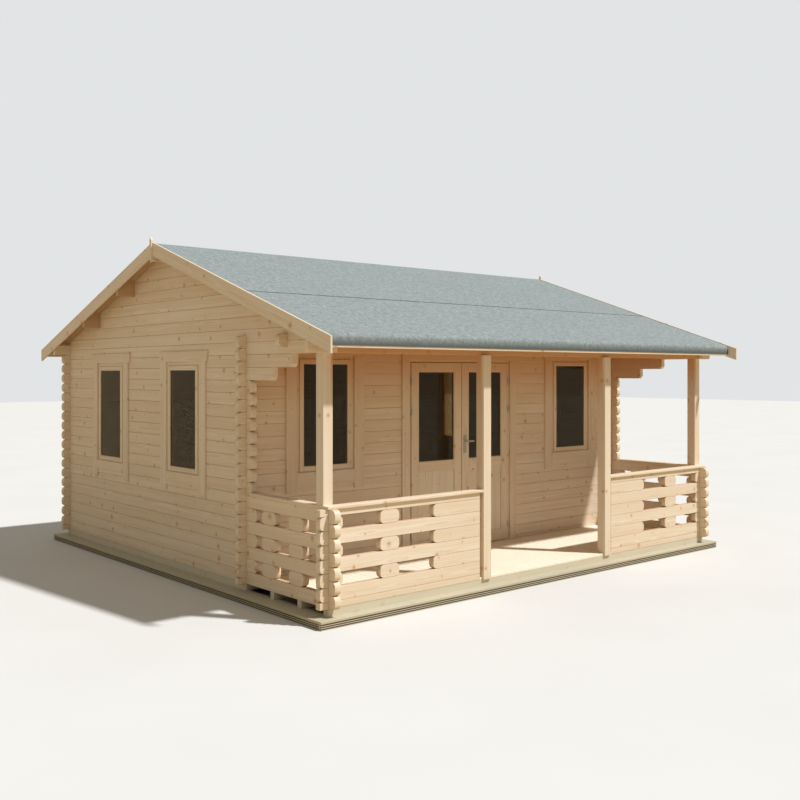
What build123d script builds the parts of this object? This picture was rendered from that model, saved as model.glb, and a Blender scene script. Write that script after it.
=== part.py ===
from build123d import *

import os
from math import cos, radians, sin, tan

# Log cabin with a roofed veranda across its front.
# Frame: +X to the right along the front, -Y towards the front, +Z up,
# origin on the ground under the middle of the cabin. Sizes in millimetres.

# Logs and the plan of the house
course = 114          # height of one log
log_t = 58            # thickness of one log
log_end = 86          # how far a log runs past a corner
end_round = 30        # rounding of a log end
round_facets = 2      # flats in each rounded corner of the timber
joint_depth = 5       # depth of the V between two logs
joint_height = 13     # height of the V between two logs
house_w = 5358        # over the gable logs
house_d = 5326        # over the back wall and the front railing
veranda_d = 1240      # front railing face to front wall face
courses = 19          # full logs under the eaves

# Base
base_h = 70
base_over_x = 145
base_over_y = 94
base_board = 28       # thickness of the edge board
base_plank = 22       # thickness of the plank on top
base_plank_w = 190
edge_grooves = 4
edge_groove_depth = 4
edge_groove_h = 7
bearer_h = 62
bearer_w = 70
joist_w = 56
veranda_joists_at = (0.33, 0.66)   # along the depth of the veranda
cabin_joists = 6
floor_t = 22
seat_gap = 0.3        # small play where a piece lies against another

# Roof
pitch = 18.83
eave_over = 314
verge_over = 214
roof_rise = 112       # roof boards above the low ends of the front beam
barge_t = 20
barge_h = 135         # measured plumb
barge_stand = 8       # barge board above the felt, plumb
felt_t = 5
board_t = 19
felt_drop = 61        # felt turned down at the eave
eave_board_t = 20
eave_board_show = 19  # wood showing below the felt
finial_w = 32
finial_t = 18
finial_up = 52
finial_down = 202
purlin_w = 44
purlin_h = 155
ridge_beam_w = 58
purlin_at = (857, 1747)
plate_end = 190       # plates and beam past the gable faces
beam_h = 90

# Veranda
post_w = 98
post_ease = 3         # chamfer along the corners of a post
post_gap = 29         # from an entrance post to the end of its railing
corner_post_out = 19  # corner posts past the gable face
post_set_back = 50    # corner posts behind the railing face
rail_logs = 7
rail_len = 1711       # front railing, from the gable face
cap_t = 24
cap_over = 20
rail_end_piece = 143
front_block_w = 208
front_block_end = 576
side_block_w = 240
side_end_piece = 174
side_wall_piece = 57
block_round = 45      # rounding of a spacer block
spacer_rows = 3
bracket_long = 730
bracket_short = 422
bracket_cut = 30
gable_nose = 40
lock_log_y = 615
lock_log_end = 86

# Windows
win_glass_w = 514
win_glass_h = 960
sash_w = 46
win_frame_w = 40
sash_t = 40
sash_proud = 12       # sash in front of the wall
glass_in = 8          # glass behind the face of its sash
frame_in = 12         # frame past the inner wall face
trim_t = 18
trim_out = 456        # half width over the side boards
trim_lap = 3          # boards over the edge of the frame
sill_lap = 30
head_h = 104
head_over = 46
head_slope = 22
sill_board_h = 138
ear_drop = 50
gable_glass_z = 956   # above the bottom of the wall
gable_window_1 = 1177 # from the front wall face
gable_window_2 = 2860
front_window_in = 875 # from the gable face to the middle of the window
glass_t = 6

# Double door
leaf_w = 713
leaf_t = 44
leaf_z0 = 30
leaf_h = 1968
leaf_proud = 6
meeting_gap = 10
jamb_gap = 6
stile_w = 104
top_rail_h = 98
mid_rail_h = 108
bottom_rail_h = 118
door_glass_h = 933
panel_t = 24
panel_boards = 5
panel_groove = 3
door_frame_w = 45
door_frame_in = 26
head_gap = 6
door_trim_w = 100
threshold_h = 24
stop_w = 14
stop_t = 18
stop_gap = 6
hinge_r = 7
barrel_flats = 8
hinge_h = 34
hinge_gap = 0.4
hinge_leaf_w = 18
hinge_leaf_t = 3
hinge_levels = (0.085, 0.74, 0.9)
plate_w = 38
plate_h = 200
plate_t = 6
handle_x = 45
handle_z = 1156       # above the bottom of the wall
spindle_r = 8
spindle_play = 0.5
lever_len = 84
lever_r = 8
lever_t = 12
lever_stand = 42
handle_above = 130    # lever above the lower end of its plate

# Derived places
half_w = house_w / 2
half_d = house_d / 2
wall_z = base_h + bearer_h
front_y = -half_d
wall_y = front_y + veranda_d
slope = tan(radians(pitch))
plumb = 1 / cos(radians(pitch))
eave_y = half_d + eave_over
barge_x = half_w + verge_over
roof_x = barge_x - barge_t
rail_top = wall_z + rail_logs * course
cap_top = rail_top + cap_t
wall_top = wall_z + (courses + 0.5) * course
bracket_z = wall_z + (courses - 3) * course
beam_z = wall_z + (courses - 1) * course
gable_split = wall_y - log_end
beam_y = front_y + post_w - cap_over - log_t
boards_under = beam_z + beam_h + roof_rise - slope * beam_y
boards_top = boards_under + board_t * plumb
felt_top = boards_top + felt_t * plumb
ridge_top = felt_top + barge_stand
front_window_x = half_w - front_window_in
floor_top = wall_z + floor_t
opening_half = leaf_w + meeting_gap / 2 + jamb_gap
frame_half = opening_half + door_frame_w
leaf_top = wall_z + leaf_z0 + leaf_h
door_head_z = leaf_top + head_gap
frame_top = door_head_z + door_frame_w
glass_half = win_glass_w / 2
sash_half = glass_half + sash_w
win_half = sash_half + win_frame_w
win_drop = sash_w + win_frame_w
hinge_x = opening_half - jamb_gap / 2
hinge_y = wall_y - leaf_proud - hinge_r
LOW = (Align.CENTER, Align.CENTER, Align.MIN)
os.makedirs("parts", exist_ok=True)


def under_roof(y):
    """Height of the underside of the roof boards at y."""
    return boards_under - slope * abs(y)


def save(piece, label):
    piece.part.label = label
    export_step(piece.part, f"parts/{label}.step")


def rect(u0, u1, v0, v1, mode=Mode.ADD):
    """Upright rectangle of the sketch in hand, given by its edges."""
    with Locations(((u0 + u1) / 2, (v0 + v1) / 2)):
        Rectangle(abs(u1 - u0), v1 - v0, mode=mode)


def shape(*points, mode=Mode.ADD):
    """Straight-sided face of the sketch in hand."""
    Polygon(*points, align=None, mode=mode)


def block(x0, x1, y0, y1, z0, z1):
    """Square-edged timber of the part in hand, given by its faces."""
    with Locations(((x0 + x1) / 2, (y0 + y1) / 2, (z0 + z1) / 2)):
        Box(x1 - x0, y1 - y0, z1 - z0)


def corner(u, z, way_u, way_z, rounding):
    """Points of a rounded corner, from the end of a timber to its long face."""
    angles = [radians(90 * n / round_facets) for n in range(round_facets + 1)]
    return [
        (u - way_u * rounding * (1 - cos(a)), z - way_z * rounding * (1 - sin(a)))
        for a in angles
    ]


def log_ends(u_end, u_in, first, last, base=0.0):
    """Rounded ends of the logs from number first to last, at one corner."""
    way = 1 if u_end > u_in else -1
    for k in range(first, last):
        low = wall_z + (k + base) * course
        high = low + course
        end = corner(u_end, low, way, -1, end_round)[::-1] + corner(u_end, high, way, 1, end_round)
        shape((u_in, low), *end, (u_in, high))


def crossing(u0, first, last, base=0.0):
    """Notches in which the crossing logs lie, half a course each."""
    spots = [(u0 + log_t / 2, wall_z + (k + base) * course) for k in range(first, last)]
    with Locations(*spots):
        Rectangle(log_t, course / 2, mode=Mode.SUBTRACT)


def levels(first, top, base=0.0):
    """Heights of the joints between the logs, from joint number first up to top."""
    last = int((top - wall_z) / course - base) + 1
    return [wall_z + (k + base) * course for k in range(first, last)]


def joints(across, reach, z_list, outer, inner=None):
    """V joints along a wall of logs: on its outer face, and its inner one if given."""
    with BuildSketch(across) as grooves:
        for z in z_list:
            for at in (outer, inner):
                if at is not None:
                    Polygon(*vee(at, z), align=None)
    extrude(grooves.sketch, amount=reach, both=True, mode=Mode.SUBTRACT)


def vee(at, z):
    """Section of one V joint, a flat-sided lozenge centred on the face."""
    half = joint_height / 2
    return (at - joint_depth, z), (at, z - half), (at + joint_depth, z), (at, z + half)


# Base: planks laid flat on edge boards with four grooves
with BuildPart() as base_boards:
    outer_x = half_w + base_over_x
    outer_y = half_d + base_over_y
    with BuildSketch(Plane.XY):
        Rectangle(2 * outer_x, 2 * outer_y)
        Rectangle(2 * (outer_x - base_board), 2 * (outer_y - base_board), mode=Mode.SUBTRACT)
    extrude(amount=base_h - base_plank)
    with BuildSketch(Plane.XY.offset(base_h - base_plank)):
        Rectangle(2 * outer_x, 2 * outer_y)
        Rectangle(2 * (outer_x - base_plank_w), 2 * (outer_y - base_plank_w), mode=Mode.SUBTRACT)
    extrude(amount=base_plank)
    groove_pitch = base_h / (edge_grooves + 1)
    for n in range(edge_grooves):
        with BuildSketch(Plane.XY.offset(groove_pitch * (n + 1) - edge_groove_h / 2)):
            Rectangle(2 * outer_x, 2 * outer_y)
            inner = 2 * edge_groove_depth
            Rectangle(2 * outer_x - inner, 2 * outer_y - inner, mode=Mode.SUBTRACT)
        extrude(amount=edge_groove_h, mode=Mode.SUBTRACT)
save(base_boards, "base_boards")

# Bearers under the walls, and one under the front railings
with BuildPart() as wall_bearers:
    with BuildSketch(Plane.XY.offset(base_h)):
        rect(-half_w, half_w, wall_y, half_d)
        rect(-half_w + bearer_w, half_w - bearer_w, wall_y + bearer_w, half_d - bearer_w, Mode.SUBTRACT)
        rect(-half_w, half_w, front_y, front_y + bearer_w)
    extrude(amount=bearer_h)
save(wall_bearers, "wall_bearers")

# Floor joists along the front
joist_ys = [front_y + veranda_d * share for share in veranda_joists_at]
cabin_step = (half_d - wall_y) / (cabin_joists + 1)
with BuildPart() as floor_joists:
    for y in joist_ys:
        block(-half_w, half_w, y - joist_w / 2, y + joist_w / 2, base_h, wall_z)
    for n in range(cabin_joists):
        y = wall_y + cabin_step * (n + 1)
        block(-half_w + bearer_w, half_w - bearer_w, y - joist_w / 2, y + joist_w / 2, base_h, wall_z)
save(floor_joists, "floor_joists")

# Floors
inner_x = half_w - log_t
with BuildPart() as cabin_floor:
    block(-inner_x, inner_x, wall_y + log_t, half_d - log_t, wall_z, floor_top)
save(cabin_floor, "cabin_floor")

entry_x = half_w - rail_len
post_out_x = entry_x - post_gap
post_in_x = post_out_x - post_w
post_face = front_y - cap_over
post_back = post_face + post_w
with BuildPart() as veranda_floor:
    with BuildSketch(Plane.XY.offset(wall_z)):
        rect(-inner_x, inner_x, front_y + log_t, wall_y)
        rect(-entry_x, entry_x, front_y, front_y + log_t)
        for side in (-1, 1):
            post_cut = (side * (post_in_x - seat_gap), side * (entry_x + seat_gap))
            rect(*post_cut, front_y, front_y + log_t, Mode.SUBTRACT)
            post_cut = (side * (post_in_x - seat_gap), side * (post_out_x + seat_gap))
            rect(*post_cut, front_y, post_back + seat_gap, Mode.SUBTRACT)
    extrude(amount=floor_t)
save(veranda_floor, "veranda_floor")

# Gable walls, from the back of the house to the front wall
gable_windows = [wall_y + gable_window_1, wall_y + gable_window_2]
gable_low = wall_z + gable_glass_z - win_drop
win_hole_h = win_glass_h + 2 * win_drop
with BuildPart() as gable_walls:
    with BuildSketch(Plane.YZ.offset(-half_w)):
        shape(
            (gable_split, wall_z),
            (half_d, wall_z),
            (half_d, under_roof(half_d)),
            (0, boards_under),
            (gable_split, under_roof(gable_split)),
        )
        rect(gable_split, wall_y, rail_top, bracket_z, Mode.SUBTRACT)
        log_ends(gable_split, wall_y + log_t, rail_logs, courses - 3)
        log_ends(half_d + log_end, half_d - log_t, 0, courses)
        for y in gable_windows:
            rect(y - win_half, y + win_half, gable_low, gable_low + win_hole_h, Mode.SUBTRACT)
        crossing(wall_y, 0, courses + 1)
        crossing(half_d - log_t, 0, courses + 1)
        for y in (-purlin_at[0], *purlin_at):
            rect(y - purlin_w / 2, y + purlin_w / 2, under_roof(y) - purlin_h, boards_under, Mode.SUBTRACT)
        rect(-ridge_beam_w / 2, ridge_beam_w / 2, boards_under - purlin_h, boards_under, Mode.SUBTRACT)
    extrude(amount=log_t)
    joints(Plane.XZ, house_d, levels(1, boards_under), -half_w)
    mirror(about=Plane.YZ)
save(gable_walls, "gable_walls")

# Gable logs carried over the veranda, stepped back below as brackets
nose_y = front_y - gable_nose
lock_y = front_y + lock_log_y
lock_z = beam_z + course / 2
with BuildPart() as veranda_gable_logs:
    with BuildSketch(Plane.YZ.offset(-half_w)):
        shape(
            (gable_split, beam_z),
            (gable_split, under_roof(gable_split)),
            (nose_y, under_roof(nose_y)),
            (nose_y, beam_z),
        )
        for low, reach in ((beam_z - course, bracket_long), (bracket_z, bracket_short)):
            shape(
                (gable_split, low),
                (gable_split, low + course),
                (wall_y - reach, low + course),
                (wall_y - reach, low + bracket_cut),
                (wall_y - reach + bracket_cut, low),
            )
        y = -purlin_at[1]
        rect(y - purlin_w / 2, y + purlin_w / 2, under_roof(y) - purlin_h, boards_under, Mode.SUBTRACT)
        rect(beam_y, beam_y + log_t, beam_z, beam_z + beam_h, Mode.SUBTRACT)
    extrude(amount=log_t)
    joints(Plane.XZ, house_d, levels(courses - 2, under_roof(gable_split)), -half_w, -inner_x)
    block(
        -half_w - lock_log_end,
        -inner_x + lock_log_end,
        lock_y - log_t / 2,
        lock_y + log_t / 2,
        lock_z,
        lock_z + course,
    )
    mirror(about=Plane.YZ)
save(veranda_gable_logs, "veranda_gable_logs")


def long_wall_logs(u_end, u_in):
    """Log ends of a front or back wall: half a log, then whole ones."""
    rect(u_end, u_in, wall_z, wall_z + course / 2)
    log_ends(u_end, u_in, 0, courses, 0.5)


# Back wall; its top logs reach out to the barge boards
with BuildPart() as back_wall:
    with BuildSketch(Plane.XZ.offset(-half_d)):
        rect(-inner_x, inner_x, wall_z, wall_top)
        for side in (-1, 1):
            long_wall_logs(side * (half_w + log_end), side * (inner_x - 1))
            rect(side * inner_x, side * (half_w + plate_end), wall_top - course, wall_top)
            crossing(side * (half_w - log_t / 2) - log_t / 2, 0, courses + 1, 0.5)
    extrude(amount=log_t)
    with BuildSketch(Plane.YZ.offset(-inner_x)):
        shape(
            (half_d - log_t, wall_top),
            (half_d - log_t, under_roof(half_d - log_t)),
            (half_d, under_roof(half_d)),
            (half_d, wall_top),
        )
    extrude(amount=2 * inner_x)
    joints(Plane.YZ, house_w, levels(0, wall_top, 0.5), half_d)
save(back_wall, "back_wall")

# Front wall, in three pieces round the double door
front_top = under_roof(wall_y + log_t)
front_low = gable_low + course / 2


def slope_top(x0, x1):
    """Cut the top of the front wall to the slope of the roof."""
    with BuildSketch(Plane.YZ.offset(x0)) as above:
        shape(
            (wall_y, under_roof(wall_y)),
            (wall_y + log_t, front_top),
            (wall_y, front_top),
        )
    extrude(above.sketch, amount=x1 - x0, mode=Mode.SUBTRACT)


with BuildPart() as front_wall_left:
    with BuildSketch(Plane.XZ.offset(-(wall_y + log_t))):
        rect(-inner_x, -frame_half, wall_z, front_top)
        long_wall_logs(-half_w - log_end, -inner_x + 1)
        crossing(-half_w, 0, courses + 1, 0.5)
        window = (-front_window_x - win_half, -front_window_x + win_half)
        rect(*window, front_low, front_low + win_hole_h, Mode.SUBTRACT)
    extrude(amount=log_t)
    slope_top(-inner_x, -frame_half)
    joints(Plane.YZ, house_w, levels(0, front_top, 0.5), wall_y)
save(front_wall_left, "front_wall_left")

with BuildPart() as front_wall_right:
    mirror(front_wall_left.part, about=Plane.YZ)
save(front_wall_right, "front_wall_right")

with BuildPart() as front_wall_over_door:
    with BuildSketch(Plane.XZ.offset(-(wall_y + log_t))):
        rect(-frame_half, frame_half, frame_top, front_top)
    extrude(amount=log_t)
    slope_top(-frame_half, frame_half)
    joints(Plane.YZ, house_w, levels(courses - 1, front_top, 0.5), wall_y)
save(front_wall_over_door, "front_wall_over_door")


def spacer(u0, u1, low):
    """Spacer block one course high, rounded at both ends."""
    high = low + course
    shape(
        *corner(u1, low, 1, -1, block_round)[::-1],
        *corner(u1, high, 1, 1, block_round),
        *corner(u0, high, -1, 1, block_round)[::-1],
        *corner(u0, low, -1, -1, block_round),
    )


def spaced_rows(u0, u1, first, blocks):
    """Open every second course from u0 to u1, but for its spacer blocks."""
    for k in range(spacer_rows):
        z0 = wall_z + (first + 2 * k) * course
        rect(u0, u1, z0, z0 + course, Mode.SUBTRACT)
        for b0, b1 in blocks:
            spacer(b0, b1, z0)


# Front railings: whole logs held apart by rounded spacer blocks
rail_x0 = -half_w + rail_end_piece
rail_x1 = -entry_x - front_block_end
front_gap = (rail_x1 - rail_x0 - front_block_w) / 2
with BuildPart() as front_railings:
    with BuildSketch(Plane.XZ.offset(-(front_y + log_t))):
        rect(-inner_x, -entry_x, wall_z, rail_top)
        rect(-half_w - log_end, -inner_x + 1, wall_z, wall_z + course / 2)
        log_ends(-half_w - log_end, -inner_x + 1, 0, rail_logs - 1, 0.5)
        rect(-half_w - log_end, -inner_x + 1, rail_top - course / 2, rail_top)
        crossing(-half_w, 0, rail_logs, 0.5)
        middle = (rail_x0 + front_gap, rail_x0 + front_gap + front_block_w)
        last = (rail_x1, rail_x1 + 4 * block_round)
        spaced_rows(rail_x0, rail_x1 + 2 * block_round, 1.5, (middle, last))
    extrude(amount=log_t)
    joints(Plane.YZ, house_w, levels(0, rail_top, 0.5), front_y, front_y + log_t)
    mirror(about=Plane.YZ)
save(front_railings, "front_railings")

# Side railings: the gable logs run on to the front corner
side_y0 = front_y + side_end_piece
side_y1 = gable_split - side_wall_piece
side_gap = (side_y1 - side_y0 - 2 * side_block_w) / 3
with BuildPart() as side_railings:
    with BuildSketch(Plane.YZ.offset(-half_w)):
        rect(front_y + log_t, gable_split, wall_z, rail_top)
        log_ends(front_y - log_end, front_y + log_t + 1, 0, rail_logs)
        crossing(front_y, 0, rail_logs + 1)
        block_1 = side_y0 + side_gap
        block_2 = block_1 + side_block_w + side_gap
        side_blocks = ((block_1, block_1 + side_block_w), (block_2, block_2 + side_block_w))
        spaced_rows(side_y0, side_y1, 1, side_blocks)
    extrude(amount=log_t)
    joints(Plane.XZ, house_d, levels(1, rail_top - course), -half_w, -inner_x)
    mirror(about=Plane.YZ)
save(side_railings, "side_railings")

# Cap planks along both railings
with BuildPart() as railing_caps:
    with BuildSketch(Plane.XY.offset(rail_top)):
        rect(-half_w - cap_over, -post_out_x, post_face, front_y + log_t + cap_over)
        rect(-half_w - cap_over, -inner_x + cap_over, post_face, gable_split)
    extrude(amount=cap_t)
    mirror(about=Plane.YZ)
save(railing_caps, "railing_caps")

# Posts: at the corners on the caps, and on each side of the way in
with BuildPart() as corner_posts:
    post_x = -half_w - corner_post_out
    post_y = front_y + post_set_back
    block(post_x, post_x + post_w, post_y, post_y + post_w, cap_top, beam_z)
    chamfer(corner_posts.edges().filter_by(Axis.Z), length=post_ease)
    mirror(about=Plane.YZ)
save(corner_posts, "corner_posts")

with BuildPart() as entrance_posts:
    block(-post_out_x, -post_in_x, post_face, post_back, wall_z, beam_z)
    chamfer(entrance_posts.edges().filter_by(Axis.Z), length=post_ease)
    mirror(about=Plane.YZ)
save(entrance_posts, "entrance_posts")

# Front beam: low ends pass through the gable logs to the barge boards
with BuildPart() as front_beam:
    with BuildSketch(Plane.YZ.offset(-inner_x)):
        shape(
            (beam_y, beam_z),
            (beam_y, under_roof(beam_y)),
            (beam_y + log_t, under_roof(beam_y + log_t)),
            (beam_y + log_t, beam_z),
        )
    extrude(amount=2 * inner_x)
    block(-half_w - plate_end, half_w + plate_end, beam_y, beam_y + log_t, beam_z, beam_z + beam_h)
save(front_beam, "front_beam")


def purlin(y, reach):
    """Purlin on edge, its top cut to the slope of the roof."""
    low = under_roof(y) - purlin_h
    back = y + purlin_w / 2
    front = y - purlin_w / 2
    with BuildSketch(Plane.YZ.offset(-reach)) as section:
        shape((front, low), (back, low), (back, under_roof(back)), (front, under_roof(front)))
    extrude(section.sketch, amount=2 * reach)


# Purlins: those of the back slope run on to the barge boards
with BuildPart() as purlins:
    for place in purlin_at:
        purlin(-place, half_w)
        purlin(place, roof_x)
save(purlins, "purlins")

with BuildPart() as ridge_beam:
    with BuildSketch(Plane.YZ.offset(-roof_x)):
        half = ridge_beam_w / 2
        shape(
            (-half, boards_under - purlin_h),
            (half, boards_under - purlin_h),
            (half, under_roof(half)),
            (0, boards_under),
            (-half, under_roof(half)),
        )
    extrude(amount=2 * roof_x)
save(ridge_beam, "ridge_beam")

# Roof boards on the purlins
boards_y = eave_y - felt_t
with BuildPart() as roof_boards_front:
    with BuildSketch(Plane.YZ.offset(-roof_x)):
        shape(
            (-boards_y, boards_top - slope * boards_y),
            (0, boards_top),
            (0, boards_under),
            (-boards_y, under_roof(boards_y)),
        )
    extrude(amount=2 * roof_x)
save(roof_boards_front, "roof_boards_front")

with BuildPart() as roof_boards_back:
    mirror(roof_boards_front.part, about=Plane.XZ)
save(roof_boards_back, "roof_boards_back")

# Roofing felt, turned down over the boards at both eaves
felt_eave = felt_top - slope * eave_y
with BuildPart() as roofing_felt:
    with BuildSketch(Plane.YZ.offset(-roof_x)):
        shape(
            (0, felt_top),
            (-eave_y, felt_eave),
            (-eave_y, felt_eave - felt_drop),
            (-boards_y, felt_eave - felt_drop),
            (-boards_y, boards_top - slope * boards_y),
            (0, boards_top),
        )
        mirror(about=Plane.YZ)
    extrude(amount=2 * roof_x)
save(roofing_felt, "roofing_felt")

# Boards closing the eaves behind the turned-down felt
board_back = boards_y - eave_board_t
board_low = felt_eave - felt_drop - eave_board_show
with BuildPart() as eave_boards:
    with BuildSketch(Plane.YZ.offset(-roof_x)):
        shape(
            (-boards_y, board_low),
            (-boards_y, under_roof(boards_y)),
            (-board_back, under_roof(board_back)),
            (-board_back, board_low),
        )
    extrude(amount=2 * roof_x)
    mirror(about=Plane.XZ)
save(eave_boards, "eave_boards")

# Barge boards: a pair at each gable, cut plumb at ridge and eaves
with BuildPart() as barge_boards:
    with BuildSketch(Plane.YZ.offset(-barge_x)):
        shape(
            (-eave_y, ridge_top - slope * eave_y - barge_h),
            (-eave_y, ridge_top - slope * eave_y),
            (-seat_gap / 2, ridge_top),
            (-seat_gap / 2, ridge_top - barge_h),
        )
    extrude(amount=barge_t)
    mirror(about=Plane.XZ)
    mirror(about=Plane.YZ)
save(barge_boards, "barge_boards")

# Finials: pointed boards over the joint of each pair
with BuildPart() as finials:
    with BuildSketch(Plane.YZ.offset(-barge_x - finial_t)):
        half = finial_w / 2
        low = ridge_top - finial_down
        high = ridge_top + finial_up
        shape(
            (0, low),
            (half, low + finial_w),
            (half, high - finial_w),
            (0, high),
            (-half, high - finial_w),
            (-half, low + finial_w),
        )
    extrude(amount=finial_t)
    mirror(about=Plane.YZ)
save(finials, "finials")


def window_ring(u, low, half):
    """Frame or sash of one window, as seen on the wall."""
    rest = win_half - half
    rect(u - half, u + half, low + rest, low + win_hole_h - rest)
    rect(u - glass_half, u + glass_half, low + win_drop, low + win_drop + win_glass_h, Mode.SUBTRACT)


def pane(u, low):
    rect(u - glass_half, u + glass_half, low + win_drop, low + win_drop + win_glass_h)


def window_trim(u, low):
    """Head board, side boards with ears, and sill board of one window."""
    high = low + win_hole_h - trim_lap
    bottom = low + sill_lap
    inner = win_half - trim_lap
    shape(
        (u - trim_out - head_over + head_slope, high),
        (u + trim_out + head_over - head_slope, high),
        (u + trim_out + head_over, high + head_h),
        (u - trim_out - head_over, high + head_h),
    )
    for side in (-1, 1):
        rect(u + side * inner, u + side * trim_out, bottom - sill_board_h - ear_drop, high)
    rect(u - inner, u + inner, bottom - sill_board_h, bottom)


# Windows: a frame in the wall and a sash standing a little proud of it
front_windows = (-front_window_x, front_window_x)
with BuildPart() as window_frames:
    with BuildSketch(Plane.YZ.offset(-half_w)):
        for y in gable_windows:
            window_ring(y, gable_low, win_half)
    extrude(amount=log_t + frame_in)
    with BuildSketch(Plane.YZ.offset(-half_w - sash_proud)):
        for y in gable_windows:
            window_ring(y, gable_low, sash_half)
    extrude(amount=sash_t)
    mirror(about=Plane.YZ)
    with BuildSketch(Plane.XZ.offset(-(wall_y + log_t + frame_in))):
        for x in front_windows:
            window_ring(x, front_low, win_half)
    extrude(amount=log_t + frame_in)
    with BuildSketch(Plane.XZ.offset(-(wall_y - sash_proud + sash_t))):
        for x in front_windows:
            window_ring(x, front_low, sash_half)
    extrude(amount=sash_t)
save(window_frames, "window_frames")

glass_face = sash_proud - glass_in
with BuildPart() as window_glass:
    with BuildSketch(Plane.YZ.offset(-half_w - glass_face)):
        for y in gable_windows:
            pane(y, gable_low)
    extrude(amount=glass_t)
    mirror(about=Plane.YZ)
    with BuildSketch(Plane.XZ.offset(-(wall_y - glass_face + glass_t))):
        for x in front_windows:
            pane(x, front_low)
    extrude(amount=glass_t)
save(window_glass, "window_glass")

with BuildPart() as window_trims:
    with BuildSketch(Plane.YZ.offset(-half_w - trim_t)):
        for y in gable_windows:
            window_trim(y, gable_low)
    extrude(amount=trim_t)
    mirror(about=Plane.YZ)
    with BuildSketch(Plane.XZ.offset(-wall_y)):
        for x in front_windows:
            window_trim(x, front_low)
    extrude(amount=trim_t)
save(window_trims, "window_trims")

# Door frame with its threshold and stops
sill_top = wall_z + threshold_h
stop_face = wall_y - leaf_proud + leaf_t + stop_gap
with BuildPart() as door_frame:
    with BuildSketch(Plane.XZ.offset(-(wall_y + log_t))):
        rect(-frame_half, frame_half, wall_z, frame_top)
        rect(-opening_half, opening_half, sill_top, door_head_z, Mode.SUBTRACT)
    extrude(amount=log_t)
    with BuildSketch(Plane.XZ.offset(-(wall_y + log_t + door_frame_in))):
        rect(-frame_half, frame_half, floor_top, frame_top)
        rect(-opening_half, opening_half, floor_top, door_head_z, Mode.SUBTRACT)
    extrude(amount=door_frame_in)
    with BuildSketch(Plane.XZ.offset(-(stop_face + stop_t))):
        inner = opening_half - stop_w
        rect(-opening_half, opening_half, sill_top, door_head_z)
        rect(-inner, inner, sill_top, door_head_z - stop_w, Mode.SUBTRACT)
    extrude(amount=stop_t)
save(door_frame, "door_frame")

trim_inside = frame_half - door_frame_w / 2
trim_outside = trim_inside + door_trim_w
trim_top = door_head_z + door_frame_w / 2
with BuildPart() as door_trim:
    with BuildSketch(Plane.XZ.offset(-wall_y)):
        for side in (-1, 1):
            rect(side * trim_inside, side * trim_outside, floor_top + seat_gap, trim_top)
        rect(-trim_outside, trim_outside, trim_top, trim_top + door_trim_w)
    extrude(amount=trim_t)
save(door_trim, "door_trim")

# Door leaves: glazed above, a panel of upright boards below
leaf_x0 = meeting_gap / 2
leaf_x1 = leaf_x0 + leaf_w
leaf_z = wall_z + leaf_z0
pane_x = (leaf_x0 + stile_w, leaf_x1 - stile_w)
pane_z1 = leaf_top - top_rail_h
pane_z0 = pane_z1 - door_glass_h
panel_top = pane_z0 - mid_rail_h
panel_low = leaf_z + bottom_rail_h
leaf_face = wall_y - leaf_proud
leaf_back = leaf_face + leaf_t
panel_in = (leaf_t - panel_t) / 2
lever_z = wall_z + handle_z
with BuildPart() as left_door:
    with BuildSketch(Plane.XZ.offset(-leaf_back)):
        rect(-leaf_x1, -leaf_x0, leaf_z, leaf_top)
        rect(-pane_x[1], -pane_x[0], pane_z0, pane_z1, Mode.SUBTRACT)
        rect(-pane_x[1], -pane_x[0], panel_low, panel_top, Mode.SUBTRACT)
    extrude(amount=leaf_t)
    with BuildSketch(Plane.XZ.offset(-(leaf_back - panel_in))):
        rect(-pane_x[1], -pane_x[0], panel_low, panel_top)
    extrude(amount=panel_t)
    board_step = (pane_x[1] - pane_x[0]) / panel_boards
    with BuildSketch(Plane.XY.offset(panel_low)):
        for n in range(1, panel_boards):
            for y in (leaf_face + panel_in, leaf_back - panel_in):
                with Locations((-pane_x[0] - n * board_step, y)):
                    Rectangle(2 * panel_groove, 2 * panel_groove, rotation=45)
    extrude(amount=panel_top - panel_low, mode=Mode.SUBTRACT)
save(left_door, "left_door")

with BuildPart() as right_door:
    mirror(left_door.part, about=Plane.YZ)
    with BuildSketch(Plane.XZ.offset(-leaf_back)):
        with Locations((handle_x, lever_z)):
            Circle(spindle_r + spindle_play)
    extrude(amount=leaf_t, mode=Mode.SUBTRACT)
save(right_door, "right_door")

with BuildPart() as right_door_glass:
    with BuildSketch(Plane.XZ.offset(-(leaf_back - leaf_t / 2 + glass_t / 2))):
        rect(*pane_x, pane_z0, pane_z1)
    extrude(amount=glass_t)
save(right_door_glass, "right_door_glass")

with BuildPart() as left_door_glass:
    mirror(right_door_glass.part, about=Plane.YZ)
save(left_door_glass, "left_door_glass")

# Hinges: a pin on a lower barrel at the frame, an upper barrel at the leaf
hinge_zs = [leaf_z + share * leaf_h for share in hinge_levels]
pin_r = hinge_r / 2
with BuildPart() as hinge_pins:
    for z in hinge_zs:
        with BuildSketch(Plane.XY.offset(z - hinge_h)):
            with Locations((hinge_x, hinge_y)):
                RegularPolygon(hinge_r, barrel_flats, major_radius=False)
            rect(hinge_x, hinge_x + hinge_r, hinge_y, wall_y)
            rect(hinge_x, hinge_x + hinge_leaf_w, wall_y - hinge_leaf_t, wall_y)
        extrude(amount=hinge_h)
        with Locations((hinge_x, hinge_y, z)):
            Cylinder(pin_r, hinge_h, align=LOW)
    mirror(about=Plane.YZ)
save(hinge_pins, "hinge_pins")

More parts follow.
